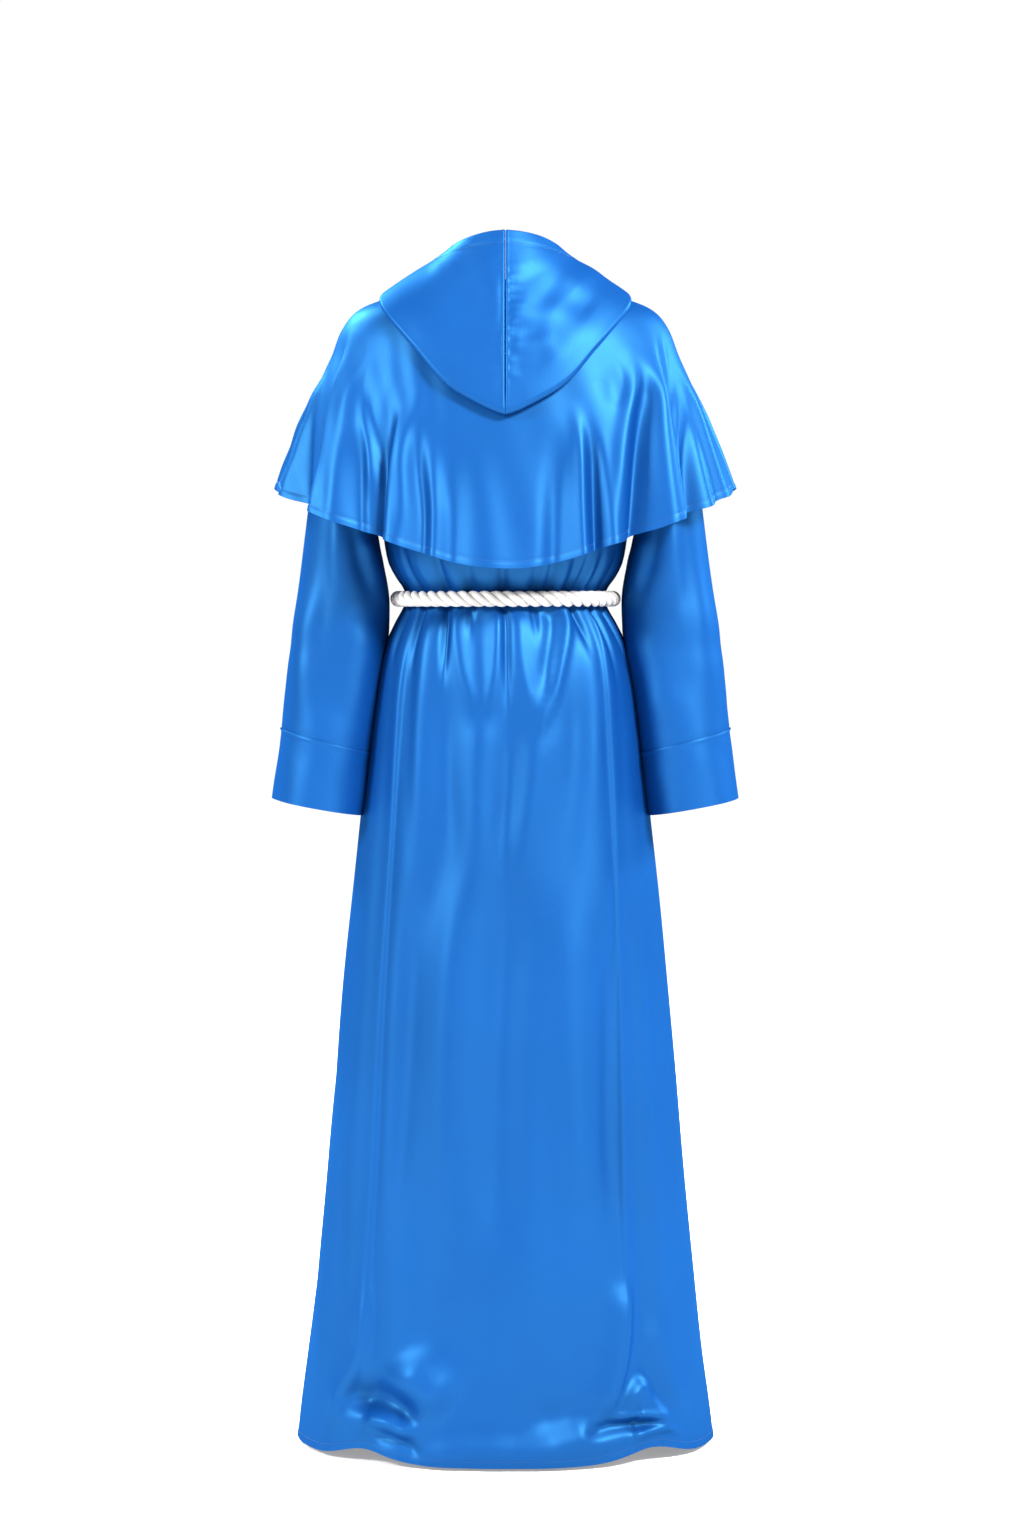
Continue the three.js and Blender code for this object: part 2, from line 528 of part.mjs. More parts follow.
// The hood's cloth at a bearing. It runs from the neck seam down the cape, turns at the bottom of the
// pouch, and comes up the outside to the mouth's edge.
function hoodPoint(bearing, along) {
  const { fold, edgeOut, edge, bulge, thickness } = hoodSection(bearing);
  const foldRow = capeRowAt(bearing, fold);
  const clearance = mix(SEAM_GAP, HOOD_CLEARANCE, smooth(along, 0, 0.15));
  const resting = (row) => {
    const normal = normalAt(capePoint, bearing, row);
    return capePoint(bearing, row).addScaledVector(normal, clearance);
  };
  if (along <= 1) return resting(foldRow * along);
  const foot = resting(foldRow);
  const normal = normalAt(capePoint, bearing, foldRow);
  const corner = foot.clone().addScaledVector(normal, thickness);
  if (along < HOOD_FOLD_END) {
    const down = capePoint(bearing, foldRow + 0.2).sub(capePoint(bearing, foldRow)).normalize();
    const control = foot.clone().lerp(corner, 0.5).addScaledVector(down, thickness);
    return quadratic(foot, control, corner, (along - 1) / (HOOD_FOLD_END - 1));
  }
  const end = polar(edgeOut, bearing, edge);
  const full = polar(bulge, bearing, bulge);
  const control = corner.clone().lerp(end, 0.45).add(full);
  return quadratic(corner, control, end, (along - HOOD_FOLD_END) / (2 - HOOD_FOLD_END));
}

function quadratic(a, b, c, t) {
  return a.clone().multiplyScalar((1 - t) ** 2).addScaledVector(b, 2 * t * (1 - t)).addScaledVector(c, t * t);
}

// One half of the hood, from the centre seam at the back round to where it meets the other half in front.
function hoodHalf(side) {
  const bearings = spread(0, Math.PI, COLUMNS.hoodHalf).map((bearing) => bearing * side);
  if (side < 0) bearings.reverse();
  const outer = HOOD_ALONG.map((along) => bearings.map((bearing) => hoodPoint(bearing, along)));
  const last = { row: HOOD_ALONG.length - 1, column: bearings.length - 1 };
  const inner = outer.map((points, i) => points.map((p, j) => {
    const around = points[Math.min(j + 1, last.column)].clone().sub(points[Math.max(j - 1, 0)]);
    const along = outer[Math.min(i + 1, last.row)][j].clone().sub(outer[Math.max(i - 1, 0)][j]);
    return p.clone().addScaledVector(around.cross(along).normalize(), -CLOTH);
  }));
  for (const p of [...outer.flat(), ...inner.flat()]) {
    p.x = side * Math.max(side * p.x, SEAM_GAP / 2);
  }
  return shell(outer, inner, false);
}

add("hood_left", hoodHalf(-1), SATIN);
add("hood_right", hoodHalf(1), SATIN);

// The robe's own outline at a height below the belt or at it, without its folds.
function robeOutline(bearing, height) {
  const isBelow = (at) => heightAt(sectionAt(ROBE_TABLE, at), bearing) <= height;
  const row = turningPlace(RESTING_ROWS, ROBE_TABLE.length - 1, isBelow);
  return polar(radiusAt(sectionAt(ROBE_TABLE, row), bearing), bearing, height);
}

// A solid rod with flat ends, through stations that each have a middle and two directions across it.
function rod(stations, radius, sides) {
  const positions = [];
  for (const { middle, right, up } of stations) {
    for (let k = 0; k < sides; k++) {
      const angle = (2 * Math.PI * k) / sides;
      const p = middle.clone().addScaledVector(right, radius * Math.cos(angle));
      p.addScaledVector(up, radius * Math.sin(angle));
      positions.push(p.x, p.y, p.z);
    }
  }
  const index = [];
  const end = (stations.length - 1) * sides;
  for (let k = 0; k < sides; k++) {
    const next = (k + 1) % sides;
    for (let i = 0; i < end; i += sides) {
      index.push(i + k, i + next, i + sides + next, i + k, i + sides + next, i + sides + k);
    }
    if (k > 0 && k < sides - 1) {
      index.push(0, k + 1, k, end, end + k, end + k + 1);
    }
  }
  const geometry = new THREE.BufferGeometry();
  geometry.setAttribute("position", new THREE.Float32BufferAttribute(positions, 3));
  geometry.setIndex(index);
  geometry.computeVertexNormals();
  return geometry;
}

const X = new THREE.Vector3(1, 0, 0);
const Y = new THREE.Vector3(0, 1, 0);
const Z = new THREE.Vector3(0, 0, 1);

function beltLoop() {
  const endX = KNOT.width / 2 + SEAM_GAP;
  const opening = Math.atan2(endX, robeOutline(Math.PI, BELT_HEIGHT).y + ROPE_RADIUS);
  const bearings = spread(-Math.PI + opening, Math.PI - opening, COLUMNS.belt);
  const stations = bearings.map((bearing, k) => {
    const isEnd = k === 0 || k === COLUMNS.belt;
    const step = 1e-3;
    const ahead = robeOutline(bearing + step, BELT_HEIGHT);
    const along = ahead.sub(robeOutline(bearing - step, BELT_HEIGHT)).normalize();
    const out = isEnd ? Y.clone() : along.clone().cross(Z).normalize();
    const middle = robeOutline(bearing, BELT_HEIGHT).addScaledVector(out, ROPE_RADIUS + SEAM_GAP);
    if (isEnd) middle.x = Math.sign(bearing) * endX;
    return { middle, right: Z, up: out };
  });
  return rod(stations, ROPE_RADIUS, ROPE_SIDES);
}

// A knot as a barrel along Y with flat ends: middle is its half width and end the half width of each end.
function barrel(length, middle, end) {
  const profile = [[0, -0.5], [1, -0.5], [1.6, -0.3], [1.8, 0], [1.6, 0.3], [1, 0.5], [0, 0.5]];
  const swell = (share) => (share <= 1 ? share * end : mix(end, middle, (share - 1) / 0.8));
  const points = profile.map(([share, at]) => new THREE.Vector2(swell(share), at * length));
  return new THREE.LatheGeometry(points, 12);
}

function beltKnot() {
  const geometry = barrel(KNOT.width, KNOT.height / 2, ROPE_RADIUS);
  geometry.rotateZ(-Math.PI / 2);
  geometry.scale(1, KNOT.depth / KNOT.height, 1);
  geometry.translate(0, robeOutline(Math.PI, BELT_HEIGHT).y + KNOT.depth / 2 + SEAM_GAP, BELT_HEIGHT);
  return geometry;
}

// The middle line of a hanging end of the rope, which lies along the front of the skirt.
function tailPoint({ side, length, topX, lowX }, share) {
  const top = BELT_HEIGHT - KNOT.height / 2 - SEAM_GAP;
  const height = top - length * share;
  const x = side * mix(topX, lowX, share);
  const out = ROPE_RADIUS + mix(TAIL_CLEARANCE.top, TAIL_CLEARANCE.low, share ** 2);
  return new THREE.Vector3(x, robeOutline(Math.PI, height).y + out, height);
}

function beltTail(tail) {
  const station = (share) => ({ middle: tailPoint(tail, share), right: X, up: Y });
  return rod(spread(1, 0, TAIL_STEPS).map(station), ROPE_RADIUS, ROPE_SIDES);
}

function beltTip(tail) {
  const geometry = barrel(TIP.height, TIP.width / 2, ROPE_RADIUS);
  geometry.rotateX(Math.PI / 2);
  const end = tailPoint(tail, 1);
  geometry.translate(end.x, end.y, end.z - SEAM_GAP - TIP.height / 2);
  return geometry;
}

add("belt_loop", beltLoop(), COTTON);
add("belt_knot", beltKnot(), COTTON);
for (const tail of TAILS) {
  add(`belt_tail_${tail.name}`, beltTail(tail), COTTON);
  add(`belt_tip_${tail.name}`, beltTip(tail), COTTON);
}

export default costume;
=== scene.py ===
import math

import bpy
import numpy as np
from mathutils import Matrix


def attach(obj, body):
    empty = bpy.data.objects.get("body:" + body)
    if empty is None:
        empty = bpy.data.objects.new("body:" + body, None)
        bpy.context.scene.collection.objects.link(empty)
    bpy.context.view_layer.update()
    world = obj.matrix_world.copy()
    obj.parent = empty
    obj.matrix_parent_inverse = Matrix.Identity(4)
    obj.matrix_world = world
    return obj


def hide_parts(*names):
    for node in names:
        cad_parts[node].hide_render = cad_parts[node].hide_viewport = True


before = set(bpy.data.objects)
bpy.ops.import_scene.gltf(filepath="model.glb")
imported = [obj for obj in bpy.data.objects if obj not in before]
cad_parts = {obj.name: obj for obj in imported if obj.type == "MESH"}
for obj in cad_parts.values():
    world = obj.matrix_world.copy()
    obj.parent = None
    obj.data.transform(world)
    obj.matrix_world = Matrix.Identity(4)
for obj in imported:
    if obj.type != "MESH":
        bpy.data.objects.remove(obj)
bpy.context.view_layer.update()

ORIGIN_ABOVE_GROUND = 1460
CLOTH = 2
SEAM_GAP = 0.3
SQUARENESS = 2.2
DIP_SHARPNESS = 1.2
ARMHOLE_PLANE = 165
BELT_HEIGHT = 1080
ROPE_RADIUS = 10
SHELL = 0.9
BODY = "root"


# The camera, at the photograph's angle, in metres, degrees and millimetres of lens.
CAMERA = dict(place=(0.0083, -5.0, -0.380), tilt=87.52, sensor=36, lens=91.55, farthest=200)
camera = bpy.data.objects.new("camera", bpy.data.cameras.new("camera"))
bpy.context.scene.collection.objects.link(camera)
camera.location = CAMERA["place"]
camera.rotation_euler = (math.radians(CAMERA["tilt"]), 0, 0)
camera.data.sensor_width = CAMERA["sensor"]
camera.data.lens = CAMERA["lens"]
camera.data.clip_end = CAMERA["farthest"]
bpy.context.scene.camera = camera


# Small tools for tables, curves and meshes.
def table(columns, rows):
    return dict(zip(columns.split(), np.array(rows, float).T))


def between(column, at):
    """A value between the rows of a table, by a smooth curve through the rows' own values."""
    last = len(column) - 1
    i = np.clip(np.floor(at).astype(int), 0, last - 1)
    t = at - i
    a, b, c, d = (column[np.clip(i + k, 0, last)] for k in (-1, 0, 1, 2))
    return (b * (2 * t**3 - 3 * t**2 + 1) + (c - a) / 2 * (t**3 - 2 * t**2 + t)
            + c * (3 * t**2 - 2 * t**3) + (d - b) / 2 * (t**3 - t**2))


def smooth(value, low, high):
    t = np.clip((value - low) / (high - low), 0, 1)
    return t * t * (3 - 2 * t)


def turn(a, b):
    return np.arctan2(np.sin(a - b), np.cos(a - b))


def polar(radius, bearing, height):
    x, y = radius * np.sin(bearing), -radius * np.cos(bearing)
    return np.stack(np.broadcast_arrays(x, y, height), -1)


def unit(vectors):
    return vectors / np.maximum(np.linalg.norm(vectors, axis=-1, keepdims=True), 1e-9)


def along_curve(points):
    """The distance of each point from the first, along the curve."""
    steps = np.linalg.norm(np.diff(points, axis=0), axis=-1)
    return np.concatenate([np.zeros((1,) + steps.shape[1:]), np.cumsum(steps, axis=0)])


def new_object(name, points, faces, corner_uv=None):
    """A smooth mesh from points in millimetres above the ground."""
    mesh = bpy.data.meshes.new(name)
    mesh.from_pydata((points - [0, 0, ORIGIN_ABOVE_GROUND]) / 1000, [], faces)
    mesh.polygons.foreach_set("use_smooth", np.ones(len(mesh.polygons), bool))
    if corner_uv is not None:
        mesh.uv_layers.new(name="cloth").data.foreach_set("uv", (corner_uv / 1000).ravel())
    mesh.validate()
    mesh.update()
    made = bpy.data.objects.new(name, mesh)
    bpy.context.scene.collection.objects.link(made)
    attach(made, BODY)
    return made


# The forms of the solids, as sections from the neck down.
SECTION_COLUMNS = "side back front width back_depth front_depth"
CAPE_SECTIONS = table(SECTION_COLUMNS, [
    (1474, 1481, 1448, 82, 72, 70),
    (1468, 1470, 1434, 113, 85, 84),
    (1460, 1452, 1413, 157, 101, 98),
    (1446, 1430, 1390, 189, 114, 110),
    (1423, 1402, 1364, 208, 124, 119),
    (1388, 1362, 1330, 222, 134, 128),
    (1346, 1310, 1284, 241, 145, 139),
    (1303, 1250, 1234, 259, 155, 149),
    (1261, 1184, 1180, 276, 165, 159),
    (1222, 1117, 1124, 291, 175, 169),
])
ROBE_SECTIONS = table(SECTION_COLUMNS, [
    (1412, 1392, 1356, 190, 116, 110),
    (1308, 1290, 1270, 187, 124, 119),
    (1256, 1240, 1230, 175, 124, 120),
    (1215, 1205, 1200, 163, 123, 119),
    (1136, 1136, 1136, 152, 118, 114),
    (1110, 1110, 1110, 142, 111, 108),
    (1094, 1094, 1094, 131, 102, 100),
    (1080, 1080, 1080, 127, 98, 96),
    (1066, 1066, 1066, 132, 103, 100),
    (1045, 1045, 1045, 144, 114, 108),
    (1015, 1015, 1015, 157, 123, 115),
    (965, 965, 965, 167, 132, 121),
    (895, 895, 895, 175, 140, 127),
    (797, 797, 797, 186, 149, 135),
    (640, 640, 640, 203, 162, 148),
    (460, 460, 460, 220, 174, 161),
    (280, 280, 280, 236, 185, 173),
    (130, 130, 130, 252, 195, 183),
    (50, 50, 50, 262, 202, 189),
    (6, 4, 6, 267, 206, 192),
])
RESTING_ROWS = 4


def inset_sections(sections, count):
    """Sections moved inwards square to the cloth, from a seam's gap below what lies on them."""
    row = np.arange(count)
    distance = CLOTH + SEAM_GAP * (row + 1.5)
    moved = {}
    for height, out in (("side", "width"), ("back", "back_depth"), ("front", "front_depth")):
        fall = sections[height][np.maximum(row - 1, 0)] - sections[height][row + 1]
        spread = sections[out][row + 1] - sections[out][np.maximum(row - 1, 0)]
        length = np.hypot(fall, spread)
        moved[height] = sections[height][row] - distance * spread / length
        moved[out] = sections[out][row] - distance * fall / length
    return moved


RESTING = inset_sections(CAPE_SECTIONS, RESTING_ROWS)
ROBE_TABLE = {key: np.concatenate([RESTING[key], ROBE_SECTIONS[key]]) for key in ROBE_SECTIONS}
BELT_ROW = int(np.flatnonzero(ROBE_TABLE["side"] == BELT_HEIGHT)[0])


def section_form(sections, bearing, at):
    """The radius and the height of the plain form at a bearing and a row."""
    bearing, at = np.broadcast_arrays(bearing, at)
    s = {key: between(column, at) for key, column in sections.items()}
    behind = np.cos(bearing) > 0
    depth = np.where(behind, s["back_depth"], s["front_depth"])
    across, along = np.abs(np.sin(bearing)) / s["width"], np.abs(np.cos(bearing)) / depth
    radius = (across**SQUARENESS + along**SQUARENESS) ** (-1 / SQUARENESS)
    end = np.where(behind, s["back"], s["front"])
    return radius, s["side"] + (end - s["side"]) * np.abs(np.cos(bearing)) ** DIP_SHARPNESS


# The largest folds, which the solids have too.
CAPE_FOLDS = table("top top_bearing low_bearing width depth", [
    (1340, -80, -73, 15, 24),
    (1350, -57, -54, 11, 10),
    (1370, -50, -48, 11, 18),
    (1330, -34, -33, 11, 10),
    (1300, -20, -21, 15, 7),
    (1300, 23, 20, 13, 11),
    (1330, 36, 36, 9, 12),
    (1395, 60, 49, 12, 19),
    (1400, 70, 67, 12, 22),
    (1360, 76, 76, 10, 10),
    (1350, 100, 103, 15, 20),
    (1330, 122, 120, 15, 15),
    (1310, 141, 143, 13, 17),
    (1280, 163, 162, 13, 9),
    (1280, 189, 191, 13, 10),
    (1310, 212, 214, 14, 16),
    (1330, 235, 233, 14, 13),
    (1350, 257, 255, 15, 21),
])
SKIRT_FOLDS = table("top low top_bearing low_bearing width depth", [
    (1010, -200, -60, -46, 24, 8),
    (960, 100, -33, -31, 28, 9),
    (980, 250, 4, -5, 32, 9),
    (900, 0, 24, 19, 30, 8),
    (960, -200, 56, 48, 22, 9),
    (900, 60, 72, 66, 26, 7),
    (900, -200, 106, 112, 28, 9),
    (970, -200, 136, 139, 28, 12),
    (930, -200, 160, 163, 26, 10),
    (980, -200, 184, 187, 28, 12),
    (930, -200, 207, 211, 26, 10),
    (970, -200, 231, 234, 28, 12),
    (900, -200, 257, 250, 28, 9),
])
HEM_LIFTS = table("bearing across rise", [(-48, 46, 14), (50, 50, 15)])


def rows_of(columns):
    return [dict(zip(columns, row)) for row in zip(*columns.values())]


def cape_fold_depth(bearing, height, radius):
    hem = section_form(CAPE_SECTIONS, bearing, np.array(len(CAPE_SECTIONS["side"]) - 1.0))[1]
    depth = 0
    for fold in rows_of(CAPE_FOLDS):
        down = np.clip((fold["top"] - height) / (fold["top"] - hem), 0, 1)
        middle = np.radians(fold["top_bearing"] + (fold["low_bearing"] - fold["top_bearing"]) * down)
        away = turn(bearing, middle) * radius / (fold["width"] * (0.85 + 0.45 * down))
        depth = depth + 0.9 * fold["depth"] * down**1.3 * np.exp(-away * away)
    return depth


def skirt_fold_depth(bearing, height, radius):
    depth = 0
    for fold in rows_of(SKIRT_FOLDS):
        share = np.clip((fold["top"] - height) / (fold["top"] - fold["low"]), 0, 1)
        middle = np.radians(fold["top_bearing"] + (fold["low_bearing"] - fold["top_bearing"]) * share)
        away = turn(bearing, middle) * radius / fold["width"]
        depth = depth + fold["depth"] * np.sin(math.pi * share**0.8) * np.exp(-away * away)
    return depth


# Creases as drawn, one on each line: the columns below, a colon, and its path as places and
# heights. A crease stands out by its rise, or is pressed in where that is negative. It is as wide to
# its left and right as the line says, seen with its path going down. lean carries its crest sideways,
# so that it overhangs. start and end are the shares of its length over which it grows and fades.
CREASE_COLUMNS = "rise left right lean start end"


def creases(lines):
    rows = []
    for line in lines.replace(",\n", ",").splitlines():
        if ":" in line:
            values, path = line.split(":")
            row = dict(zip(CREASE_COLUMNS.split(), map(float, values.split())))
            row["path"] = [[float(v) for v in point.split()] for point in path.split(",")]
            rows.append(row)
    return rows


def fine_path(path, pieces=7):
    points = np.array(path)
    at = np.linspace(0, len(points) - 1, pieces * (len(points) - 1) + 1)
    return np.stack([between(points[:, 0], at), between(points[:, 1], at)], -1)


def pressed(bearing, height, radius, rows, angular=True):
    """How far the creases move each place outwards, and how far along its row."""
    out, aside = np.zeros(height.shape), np.zeros(height.shape)
    for row in rows:
        path = fine_path(row["path"])
        if angular:
            path[:, 0] = np.radians(path[:, 0])
        reach = 3 * max(row["left"], row["right"])
        near = (height > path[:, 1].min() - reach) & (height < path[:, 1].max() + reach)
        b, h, r = bearing[near], height[near], radius[near]
        best = np.full(b.shape, 1e9)
        side, share = np.zeros(b.shape), np.zeros(b.shape)
        lengths = along_curve(path * [radius.mean() if angular else 1, 1])
        for k in range(len(path) - 1):
            if angular:
                ax = turn(path[k, 0], b) * r
                bx = ax + (path[k + 1, 0] - path[k, 0]) * r
            else:
                ax, bx = path[k, 0] - b, path[k + 1, 0] - b
            ay, by = path[k, 1] - h, path[k + 1, 1] - h
            sx, sy = bx - ax, by - ay
            t = np.clip(-(ax * sx + ay * sy) / np.maximum(sx * sx + sy * sy, 1e-6), 0, 1)
            dx, dy = ax + t * sx, ay + t * sy
            distance = dx * dx + dy * dy
            closer = distance < best
            best = np.where(closer, distance, best)
            side = np.where(closer, np.sign(sy * dx - sx * dy), side)
            place = (lengths[k] + t * (lengths[k + 1] - lengths[k])) / lengths[-1]
            share = np.where(closer, place, share)
        width = np.where(side > 0, row["right"], row["left"])
        strength = np.exp(-best / width**2)
        if row["start"]:
            strength = strength * smooth(share, 0, row["start"])
        if row["end"]:
            strength = strength * smooth(1 - share, 0, row["end"])
        out[near] += row["rise"] * strength
        aside[near] += row["lean"] * strength
    return out, aside


def ripples(seed, amplitude, across, down):
    """Low, long, uneven ripples in cloth, as a function of two distances on it."""
    random = np.random.default_rng(seed)
    count = 12
    waves = 2 * math.pi / random.uniform(*across, count)
    falls = 2 * math.pi / random.uniform(*down, count) * random.choice([-1, 1], count)
    phases = random.uniform(0, 2 * math.pi, count)
    sizes = amplitude * random.uniform(0.5, 1, count) / math.sqrt(count)

    def height_at(u, v):
        return sum(a * np.sin(w * u + f * v + p) for a, w, f, p in zip(sizes, waves, falls, phases))
    return height_at


CAPE_CREASES = creases("""
8 7.5 22.5 -5.5 0.35 0: -75 1425, -70.4 1355, -67.4 1286, -66.2 1236, -65.4 1170
4.5 9 9 0 0.4 0: -63.3 1398, -64.3 1337, -62.5 1286, -61 1235, -59.7 1170
-6 9 9 0 0.5 0: -59 1300, -56 1240, -53.5 1160
5 7.5 10.5 0 0.4 0.3: -61 1350, -57.5 1310, -54.5 1270, -52.6 1235, -50.5 1195
-7 7.5 9 0 0.4 0: -62.3 1395, -56 1320, -49.8 1252, -47 1200, -46.5 1140
7 7 13.5 -4 0.5 0: -43.5 1340, -44.6 1293, -44.8 1252, -45 1202, -44.3 1140
5 9 9 0 0.4 0: -38.5 1352, -40.7 1318, -40.8 1252, -39.8 1185, -39.5 1130
-5 9 9 0 0.4 0: -38.3 1310, -36.5 1240, -34 1180, -33 1125
4.5 9 13.5 0 0.5 0: -36.5 1320, -33.4 1252, -30 1195, -28 1120
-4.5 13.5 13.5 0 0.5 0: -26.5 1290, -25 1230, -23 1180, -22 1110
3 21 21 0 0.5 0: -15 1290, -12 1240, -8 1180, -5 1100
-4.5 16.5 10.5 0 0.5 0: 26.4 1312, 25.2 1270, 23.4 1210, 21.5 1100
6.5 9 10.5 0 0.4 0: 31.5 1330, 33.2 1290, 32.8 1250, 31 1180, 30.2 1120
-6 7.5 7.5 0 0.4 0: 36.7 1312, 37.8 1270, 37.2 1210, 35.5 1130
4.5 7.5 9 0 0.5 0: 41 1300, 40.3 1260, 39.3 1200, 39 1130
6.5 10.5 10.5 0 0.3 0: 59 1408, 56.8 1352, 50.6 1300, 45.5 1240, 42 1185, 41 1130
-8.5 9 10.5 0 0.3 0: 60.5 1392, 60.7 1359, 56.6 1305, 51.5 1230, 48 1165, 47 1130
6 9 10.5 0 0.3 0: 60.3 1404, 62.4 1345, 60 1285, 58 1220, 56.5 1140
7 22.5 7 5.5 0.3 0: 71 1420, 67.4 1387, 63.9 1330, 62.1 1272, 60.6 1215, 59.7 1140
3 7 7 0 0.4 0.3: 76.9 1424, 72 1385, 69.3 1350, 66 1310
4.5 7.5 7.5 0 0.4 0: 72.5 1360, 70 1310, 66.5 1250, 64.2 1170
-7 7.5 9 0 0.4 0: 74 1340, 72 1300, 69 1240, 67.3 1180
5 10.5 12 0 0.4 0: 80 1390, 79 1322, 78 1264, 77.6 1190
-4.5 12 12 0 0.5 0.5: 49.8 1384, 48.5 1350, 46.8 1312
5 9 9 0 0.4 0: -84 1390, -82 1330, -81 1260, -80.5 1190
7 9 19.5 -4 0.4 0: 94 1390, 95 1320, 94.5 1250, 94 1170
5 10.5 10.5 0 0.4 0: 108 1380, 110 1310, 111 1240, 112 1130
6 18 7.5 4 0.4 0: 128 1350, 130 1290, 131 1220, 131 1090
-5 9 10.5 0 0.4 0: 136 1330, 137 1270, 138 1200, 138 1090
5 10.5 10.5 0 0.4 0: 150 1330, 152 1270, 153 1200, 154 1090
-3.5 13.5 13.5 0 0.4 0: 172 1330, 174 1260, 175 1190, 175 1090
4.5 13.5 13.5 0 0.4 0: 182 1320, 181 1260, 180 1190, 179 1090
5 12 9 0 0.4 0: 200 1340, 202 1280, 202 1210, 203 1090
6.5 7.5 18 -4 0.4 0: 222 1350, 223 1290, 224 1220, 225 1090
-5 10.5 9 0 0.4 0: 242 1350, 241 1290, 240 1220, 240 1110
6 10.5 10.5 0 0.4 0: 249 1380, 247 1310, 246 1240, 245 1140
7 18 7.5 5 0.4 0: 268 1395, 267 1330, 266 1260, 265 1180""")
CAPE_RIPPLES = ripples(11, 0.7, (45, 130), (150, 420))

